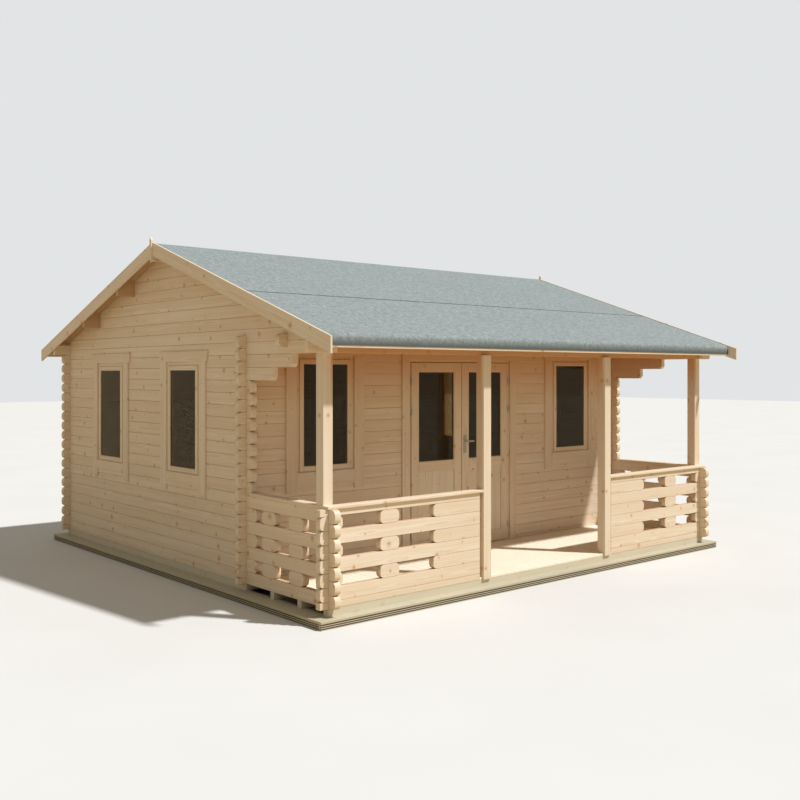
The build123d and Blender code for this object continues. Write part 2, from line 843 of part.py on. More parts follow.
with BuildPart() as right_hinge_barrels:
    for z in hinge_zs:
        with BuildSketch(Plane.XY.offset(z + hinge_gap)):
            rect(hinge_x - hinge_leaf_w, hinge_x, leaf_face - hinge_leaf_t, leaf_face)
            with Locations((hinge_x, hinge_y)):
                RegularPolygon(hinge_r, barrel_flats, major_radius=False)
                Circle(pin_r + hinge_gap, mode=Mode.SUBTRACT)
        extrude(amount=hinge_h)
save(right_hinge_barrels, "right_hinge_barrels")

with BuildPart() as left_hinge_barrels:
    mirror(right_hinge_barrels.part, about=Plane.YZ)
save(left_hinge_barrels, "left_hinge_barrels")

# Handle plates on both faces of the right leaf, and the lever through them
plate_mid = lever_z + plate_h / 2 - handle_above
with BuildPart() as handle_plates:
    for y in (leaf_face, leaf_back + plate_t):
        with BuildSketch(Plane.XZ.offset(-y)):
            with Locations((handle_x, plate_mid)):
                SlotOverall(plate_h, plate_w, rotation=90)
            with Locations((handle_x, lever_z)):
                Circle(spindle_r + spindle_play, mode=Mode.SUBTRACT)
        extrude(amount=plate_t)
save(handle_plates, "handle_plates")

# Lever: a bar with round ends on both sides, joined by its spindle
out_y = leaf_face - plate_t - lever_stand
in_y = leaf_back + plate_t + lever_stand
with BuildPart() as door_lever:
    with BuildSketch(Plane.XZ.offset(-in_y)):
        with Locations((handle_x, lever_z)):
            Circle(spindle_r)
    extrude(amount=in_y - out_y)
    for y in (out_y, in_y):
        with BuildSketch(Plane.XZ.offset(-y)):
            with Locations((handle_x + lever_len / 2, lever_z)):
                SlotCenterToCenter(lever_len, 2 * lever_r)
        extrude(amount=lever_t / 2, both=True)
save(door_lever, "door_lever")
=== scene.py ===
"""Looks of the log cabin: every log, board and screw head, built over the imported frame.

Sizes are in metres, in the frame's own axes: +X to the right along the front,
-Y towards the front, +Z up. What the frame already fixes is read from its nodes.
"""

import math
import random

import bpy
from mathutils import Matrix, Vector


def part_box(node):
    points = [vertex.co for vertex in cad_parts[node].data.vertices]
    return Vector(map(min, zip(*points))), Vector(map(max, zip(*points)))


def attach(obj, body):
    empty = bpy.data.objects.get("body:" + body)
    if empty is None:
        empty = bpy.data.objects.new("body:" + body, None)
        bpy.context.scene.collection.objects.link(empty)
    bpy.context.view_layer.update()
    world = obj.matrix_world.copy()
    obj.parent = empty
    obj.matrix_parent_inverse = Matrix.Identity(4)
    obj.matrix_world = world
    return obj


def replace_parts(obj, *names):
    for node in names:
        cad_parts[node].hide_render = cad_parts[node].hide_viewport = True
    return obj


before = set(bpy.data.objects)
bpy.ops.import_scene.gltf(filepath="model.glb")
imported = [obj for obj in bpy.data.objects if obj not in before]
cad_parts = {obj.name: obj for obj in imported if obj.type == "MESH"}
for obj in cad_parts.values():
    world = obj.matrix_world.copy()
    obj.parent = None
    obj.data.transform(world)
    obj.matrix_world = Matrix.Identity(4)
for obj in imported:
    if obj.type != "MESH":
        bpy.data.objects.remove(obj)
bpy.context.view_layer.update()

# Sizes that the frame gives
gable_lo, gable_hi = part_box("gable_walls")
front_lo, front_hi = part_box("front_wall_left")
beam_lo, beam_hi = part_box("front_beam")
cap_lo, cap_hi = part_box("railing_caps")
veranda_lo, veranda_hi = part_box("veranda_floor")
cabin_lo, cabin_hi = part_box("cabin_floor")
door_lo, door_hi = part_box("right_door")
pane_lo, pane_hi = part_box("right_door_glass")
case_lo, case_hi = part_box("door_frame")
trim_lo, trim_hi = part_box("door_trim")
roof_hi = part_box("roof_boards_front")[1]
felt_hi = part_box("roofing_felt")[1]
barge_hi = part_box("barge_boards")[1]
base_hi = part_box("base_boards")[1]

half_w = gable_hi.x  # middle of the cabin to a gable face
wall_z = gable_lo.z  # bottom of the walls
wall_y = front_lo.y  # face of the front wall
log_t = front_hi.y - front_lo.y  # thickness of a log
half_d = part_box("back_wall")[1].y  # middle of the cabin to the back face
log_end = gable_hi.y - half_d  # how far a log runs past its corner
inner_x = half_w - log_t
front_y = -half_d  # face of the front railings
split_y = gable_lo.y  # front ends of the gable logs
rail_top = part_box("front_railings")[1].z
entry_x = half_w - 1.711  # inner end of a front railing

# Logs
course = 0.114
vee_high = 0.0034  # half the height of a joint
vee_deep = 0.004
worn = 0.0012  # worn edge of a log away from its joints
vee_reach = 0.012  # how far from a joint its edge is still cut
rim = 0.3  # shade at the rim of a joint, against that in it
ease = 0.002  # worn edge of a board
plank_ease = 0.003  # worn edge of a plank or cap
end_round = 0.045  # end of a log or of a spacer block
half_round = 0.004  # end of a half log
both_round = (end_round, end_round)
quarter_turn = [math.radians(90 * n / 6) for n in range(7)]  # steps of a rounded corner
rail_logs = 7
courses = 19
bracket_long = 0.73
bracket_short = 0.422
bracket_cut = 0.03  # corner off the nose of a bracket log
nose_y = front_y - 0.04
lock_y = front_y + 0.615  # short log locked across the plate logs
lock_reach = 0.086
plate_x = beam_hi.x
beam_h = 0.09
beam_round = 0.026
lowest_log = 0.01  # least height of a log under the roof

# Railings: gaps between the logs, and the blocks in them
side_block = 0.215
side_gaps = (front_y + 0.174, split_y - 0.087)
side_blocks = (side_gaps[0] + 0.178, side_gaps[1] - 0.083 - side_block)
front_block = 0.208
front_gaps = (entry_x + 0.576, half_w - 0.143)
cap_w = 0.098
cap_in = 0.939  # inner end of a cap
post_w = 0.098
post_gap = 0.029  # entrance post to the end of its railing
post_ahead = 0.02  # how far the posts stand before the railings

# Roof
pitch = math.radians(18.83)
slope = math.tan(pitch)
board_t = 0.019
boards_under = roof_hi.z - board_t / math.cos(pitch)
purlins = (-1.747, -0.857, 0.857, 1.747)
purlin_w = 0.044
purlin_h = 0.155
ridge_w = 0.058
roof_x = roof_hi.x
roof_short = 0.102  # boards and felt end this far before the barge boards
roof_count = 48  # boards on a slope
felt_y = felt_hi.y - roof_short  # face of the felt at the eaves
felt_thick = (felt_hi.z - roof_hi.z) * math.cos(pitch)
felt_turn = felt_hi.z - slope * felt_y
felt_drop = 0.093  # felt turned down at the eaves
felt_bend = 0.045  # radius of its bend over the boards
felt_lap = 1.695  # edge of the upper felt, from the ridge
felt_under = 0.09  # how much of the lower felt lies under it
board_y = felt_y - felt_thick  # ends of the roof boards
row_short = 0.014  # the boards in view end this far before that
eave_show = 0.019  # board in view below the felt
eave_t = 0.02
barge_h = 0.135
barge_t = 0.02

# Windows: half widths, and how far a face stands out and how thick it is
glass_half = 0.257
sash_half = 0.303
case_half = 0.343
glass_h = 0.96
casing = case_half - glass_half  # from the glass to the log wall
sash = sash_half - glass_half
bead = 0.003  # thin bead that holds a pane
bead_edge = 0.0008
case_set = (0, log_t + 0.012)
sash_set = (0.012, 0.04)
bead_set = (0.0025, 0.007)
board_set = (0.018, 0.018)
side_board = (0.34, 0.456)
sill_board = 0.138
sill_lap = 0.03  # sill board over the casing
side_below = 0.05  # side boards past the sill board
head_lap = 0.003
head_board = 0.104
head_half = (0.48, 0.502)  # a head board widens upwards
gable_windows = (wall_y + 1.177, wall_y + 2.86)
front_windows = (0.875 - half_w, half_w - 0.875)
gable_glass_z = wall_z + 0.956
front_glass_z = gable_glass_z + course / 2

# Door
case_x = case_hi.x
case_top = case_hi.z
jamb = 0.045
sill_h = 0.024
stop_deep = 0.014
foot_rail = 0.118
lock_rail = 0.108
leaf_boards = 5
leaf_board_half = 0.012
leaf_bead = (0.006, 0.018)  # from a face of the leaf
stop_set = (0.006, 0.024)  # behind the leaf
trim_board = 0.1

# Base and floors
plank_t = 0.022
plank_w = 0.19
plank_gap = 0.002
edge_t = 0.028  # edge boards under the planks
groove_deep = 0.009
groove_h = 0.0085
groove_slant = 0.001
ridge_h = 0.0075
floor_wide = 0.1
floor_gap = 0.0015
cabin_count = 52  # boards of the cabin floor
cabin_gap = 0.001

play = 0.0005  # a piece kept off the one over it
touch = 0.0002  # between faces that nearly touch
post_play = 0.0003  # floor boards kept off a post
hair = 1e-6  # too little to count
sliver = 0.004  # too thin to be a strip of a log


def under_roof(y):
    """Height of the underside of the roof boards at y."""
    return boards_under - slope * abs(y)


def pair(side, a, b):
    """From a to b on one side of the middle, the lower value first."""
    return tuple(sorted((side * a, side * b)))


def placed(name, data):
    """A new object in the scene."""
    thing = bpy.data.objects.new(name, data)
    bpy.context.scene.collection.objects.link(thing)
    return thing


def store(mesh, name, kind, domain, values):
    """Keeps a value for every point or corner of the mesh."""
    made = mesh.attributes.new(name, kind, domain)
    made.data.foreach_set("vector" if kind == "FLOAT_VECTOR" else "value", values)


# Mesh work
class Joinery:
    """The timbers of one piece, collected and then made one mesh."""

    def __init__(self, name, seed):
        self.name = name
        self.random = random.Random(seed)
        self.points = []
        self.faces = []
        self.grain = []
        self.tone = []
        self.joint = []

    def start_timber(self):
        """Heart of the next timber, its run along the tree and its tone."""
        pick = self.random.uniform
        self.shift = Vector((pick(-40, 40), pick(-0.07, 0.07), pick(0.015, 0.11)))
        self.tint = pick(0, 1)

    def add(self, point, along, across, through):
        self.points.append(point)
        self.grain.append(Vector((along, across, through)) + self.shift)
        self.tone.append(self.tint)

    def face(self, corners, shade=None, turned=False):
        """A face, with how deep in a joint each of its corners lies."""
        shade = shade or [0.0] * len(corners)
        self.faces.append(corners[::-1] if turned else corners)
        self.joint += shade[::-1] if turned else shade

    def lengthwise(self, start=0):
        """Lets the grain of timbers drawn by their section run along their length."""
        for n in range(start, len(self.grain)):
            along, across, through = self.grain[n]
            self.grain[n] = Vector((through, across, along))

    def piece(self, material, body="cabin", slot="spruce"):
        mesh = bpy.data.meshes.new(self.name)
        mesh.from_pydata([tuple(p) for p in self.points], [], self.faces)
        store(mesh, "grain_at", "FLOAT_VECTOR", "POINT", [c for g in self.grain for c in g])
        store(mesh, "tone", "FLOAT", "POINT", self.tone)
        store(mesh, "joint", "FLOAT", "CORNER", self.joint)
        mesh.polygons.foreach_set("use_smooth", [True] * len(mesh.polygons))
        mesh.set_sharp_from_angle(angle=math.radians(24))
        mesh.validate()
        thing = placed(self.name, mesh)
        mesh.materials.append(material)
        if body:
            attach(thing, body)
        return thing


def on_x(x):
    """Places an outline drawn along Y and up on the plane at x."""
    return lambda u, v, d: Vector((x + d, u, v))


def on_y(y):
    """Places an outline drawn along X and up on the plane at y."""
    return lambda u, v, d: Vector((u, y + d, v))


def on_z(z):
    """Places an outline drawn along X and Y on the plane at z."""
    return lambda u, v, d: Vector((u, v, z + d))


def rectangle(u, v):
    return [(u[0], v[0]), (u[1], v[0]), (u[1], v[1]), (u[0], v[1])]


def up_to_roof(y, low):
    """Section from low up to the roof boards."""
    return [(y[0], low), (y[1], low), *((v, under_roof(v) - play) for v in y[::-1])]


def area(outline):
    """Signed area, positive where the outline runs anticlockwise."""
    pairs = zip(outline, outline[1:] + outline[:1])
    return sum(a[0] * b[1] - b[0] * a[1] for a, b in pairs) / 2


def drawn_in(outline, steps):
    """The outline moved inwards, each side by its own step."""
    moved = []
    for n, (u, v) in enumerate(outline):
        before, after = outline[n - 1], outline[(n + 1) % len(outline)]
        first = Vector((u - before[0], v - before[1])).normalized()
        second = Vector((after[0] - u, after[1] - v)).normalized()
        n1, n2 = Vector((-first.y, first.x)), Vector((-second.y, second.x))
        s1, s2 = steps[n - 1], steps[n]
        cross = n1.x * n2.y - n1.y * n2.x
        if abs(cross) < 0.08:  # the two sides run nearly in line
            middle = (n1 + n2).normalized() * (s1 + s2) / 2
            moved.append((u + middle.x, v + middle.y))
        else:
            moved.append((u + (s1 * n2.y - s2 * n1.y) / cross, v + (n1.x * s2 - n2.x * s1) / cross))
    return moved


def prism(work, outline, place, thick, heading=(1, 0), inset=ease, deep=ease, middle=None, shade=None):
    """A timber cut to an outline, its edges eased on both faces.

    heading is the way the grain runs in the outline's plane, inset how far each
    side is drawn in at the faces, deep how thick the eased band is, and shade how
    much each side lies in a joint.
    """
    count = len(outline)
    shade = shade or [0.0] * count
    if isinstance(inset, float):
        inset = [inset] * count
    if area(outline) < 0:
        outline = outline[::-1]
        inset = inset[:-1][::-1] + inset[-1:]
        shade = shade[:-1][::-1] + shade[-1:]
    work.start_timber()
    if middle is None:
        middle = (sum(p[0] for p in outline) / count, sum(p[1] for p in outline) / count)
    small = drawn_in(outline, inset)
    first = len(work.points)
    sign = 1 if thick > 0 else -1
    for ring, depth in ((small, 0.0), (outline, sign * deep), (outline, thick - sign * deep), (small, thick)):
        for u, v in ring:
            du, dv = u - middle[0], v - middle[1]
            along = du * heading[0] + dv * heading[1]
            across = dv * heading[0] - du * heading[1]
            work.add(place(u, v, depth), along, across, depth)
    corner = [place(u, v, d) for u, v, d in ((0, 0, 0), (1, 0, 0), (0, 1, 0), (0, 0, 1))]
    axes = [c - corner[0] for c in corner[1:]]
    turned = axes[0].cross(axes[1]).dot(axes[2]) * sign < 0
    work.face([first + n for n in range(count)][::-1], None, turned)
    work.face([first + 3 * count + n for n in range(count)], None, turned)
    for ring in range(3):
        a = first + ring * count
        for n in range(count):
            after = (n + 1) % count
            pale, dark = rim * shade[n], shade[n]
            shades = [pale if ring == 0 else dark] * 2 + [pale if ring == 2 else dark] * 2
            work.face([a + n, a + after, a + count + after, a + count + n], shades, turned)


def spans(u0, u1, z0, z1, rounds, holes, roof, nose):
    """The log cut at every change of its outline, as upright strips."""
    cuts = {u0, u0 + nose, u1}
    for end, way, radius in ((u0, 1, rounds[0]), (u1, -1, rounds[1])):
        if radius:
            cuts |= {end + way * radius * (1 - math.cos(a)) for a in quarter_turn}
    for hole in holes:
        cuts |= {u for u in hole[:2] if u0 < u < u1}
    if roof:
        reach = [(boards_under - z) / slope for z in (z0, z1)]
        cuts |= {u for u in (0, *reach, *(-r for r in reach)) if u0 < u < u1}

    def edge(u):
        """How far the rounded end takes the edges in at u."""
        taken = 0.0
        for gap, radius in ((u - u0, rounds[0]), (u1 - u, rounds[1])):
            if radius and gap < radius:
                taken = radius - math.sqrt(max(0.0, radius**2 - (radius - gap) ** 2))
        return taken

    cuts = sorted(cuts)
    strips = []
    for a, b in zip(cuts, cuts[1:]):
        if b - a < hair:
            continue
        low = [z0 + edge(u) + max(0.0, nose - (u - u0)) for u in (a, b)]
        high = [z1 - edge(u) for u in (a, b)]
        if roof:
            high = [min(h, under_roof(u)) for h, u in zip(high, (a, b))]
        for h0, h1, d0, d1 in holes:
            if h0 <= (a + b) / 2 <= h1 and d1 > z0 and d0 < z1:
                if d0 <= z0 + hair:
                    low = [max(v, d1) for v in low]
                elif d1 >= z1 - hair or roof:
                    high = [min(v, d0) for v in high]
        heights = [h - v for v, h in zip(low, high)]
        if min(heights) > -hair and max(heights) > sliver:
            strips.append((a, b, low, high))
    return strips


def outlines(strips):
    """Joins strips that touch into closed outlines."""
    runs = []
    for strip in strips:
        last = runs[-1][-1] if runs else None
        touching = last and abs(last[1] - strip[0]) < hair
        if touching and min(last[3][1], strip[3][0]) - max(last[2][1], strip[2][0]) > sliver:
            runs[-1].append(strip)
        else:
            runs.append([strip])
    for run in runs:
        under = [p for a, b, low, high in run for p in ((a, low[0]), (b, low[1]))]
        over = [p for a, b, low, high in run for p in ((a, high[0]), (b, high[1]))]
        yield tidied(under + over[::-1])


def tidied(points):
    """Drops doubled points and those on a straight stretch."""
    close = 2e-4
    kept = []
    for p in points:
        if not kept or math.dist(p, kept[-1]) > close:
            kept.append(p)
    if math.dist(kept[0], kept[-1]) < close:
        kept.pop()
    changed = True
    while changed:
        changed = False
        for n in range(len(kept)):
            a, b, c = kept[n - 1], kept[n], kept[(n + 1) % len(kept)]
            turn = (b[0] - a[0]) * (c[1] - b[1]) - (b[1] - a[1]) * (c[0] - b[0])
            if abs(turn) < 1e-8:
                kept.pop(n)
                changed = True
                break
    return kept


def log(work, place, u0, u1, low, thick, rounds=(0, 0), holes=(), high=None, roof=False, nose=0):
    """One log of a wall, in as many lengths as its openings leave."""
    if high is None:
        high = low + course
    start = work.random.getstate()
    for outline in outlines(spans(u0, u1, low, high, rounds, holes, roof, nose)):
        work.random.setstate(start)
        steps, shade = [], []
        for p, q in zip(outline, outline[1:] + outline[:1]):
            run = abs(q[0] - p[0]) / math.dist(p, q)
            level = (p[1] + q[1]) / 2
            near = min(abs(level - low), abs(level - high))
            flat = run**2 * max(0.0, 1 - near / vee_reach)
            steps.append(worn + (vee_high - worn) * flat)
            shade.append(flat)
        middle = (0, (low + high) / 2)
        prism(work, outline, place, thick, (1, 0), steps, vee_deep, middle, shade)
    work.random.random()


def notches(u0, count, base=0.0):
    """Holes for crossing logs: half a log at each of so many joints."""
    quarter = course / 4
    levels = [wall_z + (k + base) * course for k in range(count)]
    return [(u0, u0 + log_t, z - quarter, z + quarter) for z in levels]


def corner_notches(side, count):
    """Holes for the gable logs that cross a front or back wall."""
    return notches(side * (half_w - log_t / 2) - log_t / 2, count, 0.5)


def window_holes(middles, glass_z):
    return [(u - case_half, u + case_half, glass_z - casing, glass_z + glass_h + casing) for u in middles]


def board(work, x, y, z, way, edge=ease):
    """A straight board given by its faces, the grain along way."""
    u, place, run = (y, on_x(x[0]), x) if way == "y" else (x, on_y(y[0]), y)
    heading = (0, 1) if way == "z" else (1, 0)
    prism(work, rectangle(u, z), place, run[1] - run[0], heading, edge, edge)


# Materials
def tint(*screen):
    """A colour given as seen on a screen, 0 to 255, for a material."""
    return tuple(((c / 255 + 0.055) / 1.055) ** 2.4 if c > 10 else c / 3294 for c in screen) + (1,)


class Wiring:
    """Adds nodes to a material or node group and joins them."""

    def __init__(self, tree):
        self.tree = tree

    def fill(self, made, inputs):
        """Fills inputs by name or number: a link where the value is a socket, else a constant."""
        for name, value in dict(inputs).items():
            if isinstance(value, bpy.types.NodeSocket):
                self.tree.links.new(value, made.inputs[name])
            else:
                made.inputs[name].default_value = value

    def node(self, kind, inputs=(), **settings):
        made = self.tree.nodes.new(kind)
        for name, value in settings.items():
            setattr(made, name, value)
        self.fill(made, inputs)
        return made

    def maths(self, operation, *values):
        return self.node("ShaderNodeMath", enumerate(values), operation=operation).outputs[0]

    def times(self, a, b):
        return self.maths("MULTIPLY", a, b)

    def plus(self, a, b):
        return self.maths("ADD", a, b)

    def vector(self, operation, *values):
        made = self.node("ShaderNodeVectorMath", enumerate(values), operation=operation)
        return made.outputs["Value" if operation == "LENGTH" else "Vector"]

    def joined(self, *parts):
        return self.node("ShaderNodeCombineXYZ", enumerate(parts)).outputs[0]

    def parted(self, vector):
        return self.node("ShaderNodeSeparateXYZ", {0: vector}).outputs

    def noise(self, place, scale, detail=2.0, rough=0.5):
        inputs = {"Vector": place, "Scale": scale, "Detail": detail, "Roughness": rough}
        return self.node("ShaderNodeTexNoise", inputs).outputs["Fac"]

    def ramp(self, value, start, end):
        """A smooth step from start to end, each a value and the grey there."""
        inputs = zip(("Value", "From Min", "To Min", "From Max", "To Max"), (value, *start, *end))
        return self.node("ShaderNodeMapRange", inputs, interpolation_type="SMOOTHSTEP").outputs[0]

    def mix(self, share, first, second):
        inputs = {"Factor": share, "A": first, "B": second}
        return self.node("ShaderNodeMix", inputs, data_type="RGBA").outputs["Result"]

    def coats(self, colour, *coats):
        """The colour under one coat after another, each a share and its shade on a screen."""
        for share, *shade in coats:
            colour = self.mix(share, colour, tint(*shade))
        return colour

    def bump(self, height, strength, distance):
        inputs = {"Height": height, "Strength": strength, "Distance": distance}
        return self.node("ShaderNodeBump", inputs).outputs[0]

    def named(self, name, kind):
        """An attribute that the geometry carries."""
        made = self.node("GeometryNodeInputNamedAttribute", {"Name": name}, data_type=kind)
        return made.outputs["Attribute"]


def new_group(name, kind, inputs, outputs):
    """A node group with named sockets, its wiring and what is handed in."""
    group = bpy.data.node_groups.new(name, kind)
    for way, sockets in (("INPUT", inputs), ("OUTPUT", outputs)):
        for label, value in sockets.items():
            group.interface.new_socket(label, in_out=way, socket_type="NodeSocket" + value)
    w = Wiring(group)
    return group, w, w.node("NodeGroupInput").outputs


def wood_group():
    """Sawn spruce: growth rings, fibres, knots and drying marks."""
    group, w, given = new_group(
        "sawn_spruce",
        "ShaderNodeTree",
        {"Grain": "Vector", "Tone": "Float", "Joint": "Float"},
        {"Color": "Color", "Roughness": "Float", "Height": "Float"},
    )
    grain, tone, joint = given["Grain"], given["Tone"], given["Joint"]
    along, across, through = w.parted(grain)[:3]

    def stretched(*factors):
        return w.vector("MULTIPLY", grain, factors)

    # Knots: a branch here and there, seen from its end, so many to a metre each way
    lengthways, around = 3.4, 9.0
    spot = w.joined(w.times(along, lengthways), w.times(w.plus(across, through), around), 0.0)
    cell = {"Vector": spot, "Scale": 1.0, "Randomness": 0.9}
    cells = w.node("ShaderNodeTexVoronoi", cell, voronoi_dimensions="2D", feature="F1").outputs
    away = w.vector("SUBTRACT", spot, cells["Position"])
    reach = w.vector("LENGTH", w.vector("MULTIPLY", away, (1 / lengthways, 1 / around, 0.0)))
    lot = w.parted(cells["Color"])
    has_knot = w.maths("GREATER_THAN", lot[0], 0.5)
    knot_size = w.maths("MULTIPLY_ADD", w.maths("POWER", lot[1], 2.0), 0.014, 0.005)
    near = w.maths("DIVIDE", reach, knot_size)
    knot = w.times(w.ramp(near, (0.5, 1.0), (1.2, 0.0)), has_knot)
    collar = w.times(w.ramp(near, (0.8, 1.0), (2.8, 0.0)), has_knot)
    # Growth rings round the heart, bent by the knots
    ring_wide = 0.0052
    bend = w.noise(stretched(0.9, 5, 1), 1.6, 2.0)
    heart = w.vector("LENGTH", stretched(0, 1, 1))
    ring_at = w.plus(w.plus(heart, w.times(bend, 0.022)), w.times(collar, 0.006))
    ring = w.maths("FRACT", w.maths("DIVIDE", ring_at, ring_wide))
    late = w.times(w.ramp(ring, (0.35, 0.0), (0.9, 1.0)), w.ramp(ring, (0.9, 1.0), (1.0, 0.0)))
    # Wide soft bands, fine fibres, and short drying checks across the paler wood
    band = w.noise(stretched(0.7, 26, 26), 1.0, 3.0)
    fibre = w.noise(stretched(12, 420, 420), 1.0, 2.0)
    checks = w.ramp(w.noise(stretched(60, 7, 0), 1.0, 1.0), (0.735, 0.0), (0.77, 1.0))
    colour = w.coats(
        w.mix(tone, tint(241, 231, 212), tint(235, 222, 200)),
        (w.times(w.ramp(band, (0.32, 0.0), (0.72, 1.0)), 0.4), 222, 197, 166),
        (w.times(late, 0.24), 200, 158, 112),
        (w.times(fibre, 0.12), 200, 164, 124),
        (w.times(collar, 0.36), 206, 156, 108),
        (w.times(knot, 0.5), 170, 112, 70),
        (w.times(checks, 0.25), 170, 120, 82),
        (w.times(joint, 0.45), 172, 120, 74),
    )
    rough = w.plus(w.maths("MULTIPLY_ADD", fibre, 0.22, 0.5), w.times(late, -0.08))
    height = w.plus(w.plus(w.times(late, 0.4), w.times(fibre, 0.5)), w.times(knot, 0.5))
    w.node("NodeGroupOutput", {"Color": colour, "Roughness": rough, "Height": height})
    return group


def finished(name, finish, *options, **named):
    """A new material with what a finish gives at each place on the cabin."""
    material = bpy.data.materials.new(name)
    material.use_nodes = True
    w = Wiring(material.node_tree)
    place = w.node("ShaderNodeTexCoord").outputs["Object"]
    w.fill(material.node_tree.nodes["Principled BSDF"], finish(w, place, *options, **named))
    return material


def spruce(w, place, way=None, age_and_shade_tint=None, share=0.0, groove=0.0, splashed=0.4):
    """Spruce whose grain follows each timber, or the given axis of the cabin."""
    aside, deep, height = w.parted(place)[:3]
    if way is None:
        grain, tone, joint = (
            w.node("ShaderNodeAttribute", attribute_name=kept).outputs[kind]
            for kept, kind in (("grain_at", "Vector"), ("tone", "Fac"), ("joint", "Fac"))
        )
    else:
        order = (aside, deep, height) if way == "x" else (height, aside, deep)
        grain, tone, joint = w.joined(*order), 0.4, 0.0
    wood = w.node("ShaderNodeGroup", {"Grain": grain, "Tone": tone, "Joint": joint}, node_tree=sawn).outputs
    patches = w.noise(place, 1.3, 3.0, 0.6)
    # Painted shade: timber inside the veranda is tinted warmer and darker, a little low down and most of all
    # close under the roof
    veranda_painted_shade = w.ramp(height, (1.6, 0.1), (2.3, 0.8))
    for test, value, bound in (
        ("LESS_THAN", w.maths("ABSOLUTE", aside), inner_x + 0.001),
        ("GREATER_THAN", deep, front_y + 0.01),
        ("LESS_THAN", deep, wall_y + 0.001),
        ("GREATER_THAN", height, veranda_hi.z + 0.002),
    ):
        veranda_painted_shade = w.times(veranda_painted_shade, w.maths(test, value, bound))
    # Over the wood: splashes low down, then the painted shade inside the veranda
    colour = w.coats(
        wood["Color"],
        (w.times(w.ramp(height, (0.1, splashed), (0.2, 0.0)), patches), 180, 152, 116),
        (veranda_painted_shade, 210, 148, 84),
    )
    # A tint over the whole wood: the own colour of the floor, base and bearers, and painted shade on the roof
    # boards
    if age_and_shade_tint:
        colour = w.coats(colour, (share, *age_and_shade_tint))
    # Painted shade: the deep grooves of the base's edge boards are darkened
    if groove:
        colour = w.coats(colour, (w.times(joint, groove), 62, 58, 42))
    colour = w.coats(colour, (w.ramp(patches, (0.3, 0.12), (0.7, 0.0)), 210, 178, 138))
    return {
        "Base Color": colour,
        "Roughness": wood["Roughness"],
        "Specular IOR Level": 0.35,
        "Normal": w.bump(wood["Height"], 0.5, 0.0006),
    }


def chipped_felt(w, place):
    """Grey-green roofing felt with a fine mineral chipping."""
    chips = w.node("ShaderNodeTexVoronoi", {"Vector": place, "Scale": 260.0}, feature="F1")
    chip = w.parted(chips.outputs["Color"])[0]
    cloud = w.noise(place, 2.2, 4.0, 0.6)
    speck = w.noise(place, 70.0, 4.0, 0.8)
    mottle = w.noise(place, 24.0, 3.0, 0.7)
    off_ridge = w.maths("ABSOLUTE", w.parted(place)[1])
    low = w.maths("SUBTRACT", felt_turn, w.parted(place)[2])
    turned = w.maths("GREATER_THAN", off_ridge, felt_y - felt_bend)
    # Painted shade: the felt turned down at the eaves darkens towards its lower edge
    flap_painted_shade = w.times(w.ramp(low, (0.015, 0.0), (felt_drop, 0.8)), turned)
    past = w.maths("SUBTRACT", off_ridge, felt_lap)
    seam = w.times(w.ramp(past, (-0.002, 0.0), (0.0, 1.0)), w.ramp(past, (0.008, 1.0), (0.02, 0.0)))
    colour = w.coats(
        w.mix(chip, tint(120, 130, 130), tint(150, 160, 162)),
        (w.ramp(speck, (0.42, 0.0), (0.66, 0.5)), 168, 177, 179),
        (w.ramp(speck, (0.3, 0.6), (0.46, 0.0)), 100, 110, 112),
        (w.ramp(cloud, (0.35, 0.0), (0.75, 0.16)), 124, 133, 130),
        (w.ramp(mottle, (0.36, 0.32), (0.52, 0.0)), 104, 116, 118),
        (w.ramp(mottle, (0.5, 0.0), (0.66, 0.3)), 176, 186, 188),
        (flap_painted_shade, 70, 80, 84),
        (w.times(seam, 0.75), 66, 72, 74),
    )
    return {
        "Base Color": colour,
        "Roughness": w.maths("MULTIPLY_ADD", chip, 0.12, 0.82),
        "Specular IOR Level": 0.25,
        "Normal": w.bump(w.plus(chip, speck), 0.6, 0.0012),
    }


def dusty_glass(w, place):
    """Window glass, faintly brown, with dust in soft patches."""
    dust = w.noise(place, 5.0, 4.0, 0.6)
    return {
        "Base Color": w.mix(dust, tint(157, 139, 108), tint(171, 153, 122)),
        "Roughness": w.ramp(dust, (0.4, 0.012), (0.8, 0.05)),
        "Specular IOR Level": 0.05,
        "Transmission Weight": 1.0,
        "IOR": 1.45,
        "Normal": w.bump(w.noise(place, 1.6, 1.0), 0.12, 0.002),
    }


def brushed_steel(w, place):
    """Satin steel, brushed, a little dulled by hands."""
    brushed = w.noise(w.vector("MULTIPLY", place, (900, 900, 30)), 1.0, 2.0)
    dull = w.noise(place, 24.0, 3.0, 0.6)
    return {
        "Base Color": w.mix(dull, tint(214, 212, 205), tint(178, 176, 170)),
        "Metallic": 0.6,
        "Roughness": w.maths("MULTIPLY_ADD", brushed, 0.14, w.ramp(dull, (0.3, 0.24), (0.8, 0.4))),
        "Normal": w.bump(brushed, 0.2, 0.0002),
    }


sawn = wood_group()
log_wood = finished("log_wood", spruce)
board_wood = finished("board_wood", spruce)
post_wood = finished("post_wood", spruce, "z")
beam_wood = finished("beam_wood", spruce, "x")
floor_wood = finished("floor_wood", spruce, None, (255, 246, 226), 0.85, splashed=0.0)
# Weathered grey base; its grooves darkened with painted shade
base_wood = finished("treated_base", spruce, None, (176, 175, 154), 0.8, groove=0.9)
bearer_wood = finished("treated_bearers", spruce, "x", (202, 199, 178), 0.7)
# Painted shade: the roof boards and purlins, seen only from below, are tinted darker and more orange
roof_wood_painted_shade = finished("roof_board_wood_painted_shade", spruce, None, (178, 130, 76), 0.65)
felt = finished("mineral_felt", chipped_felt)
glass = finished("window_glass", dusty_glass)
steel = finished("satin_steel", brushed_steel)


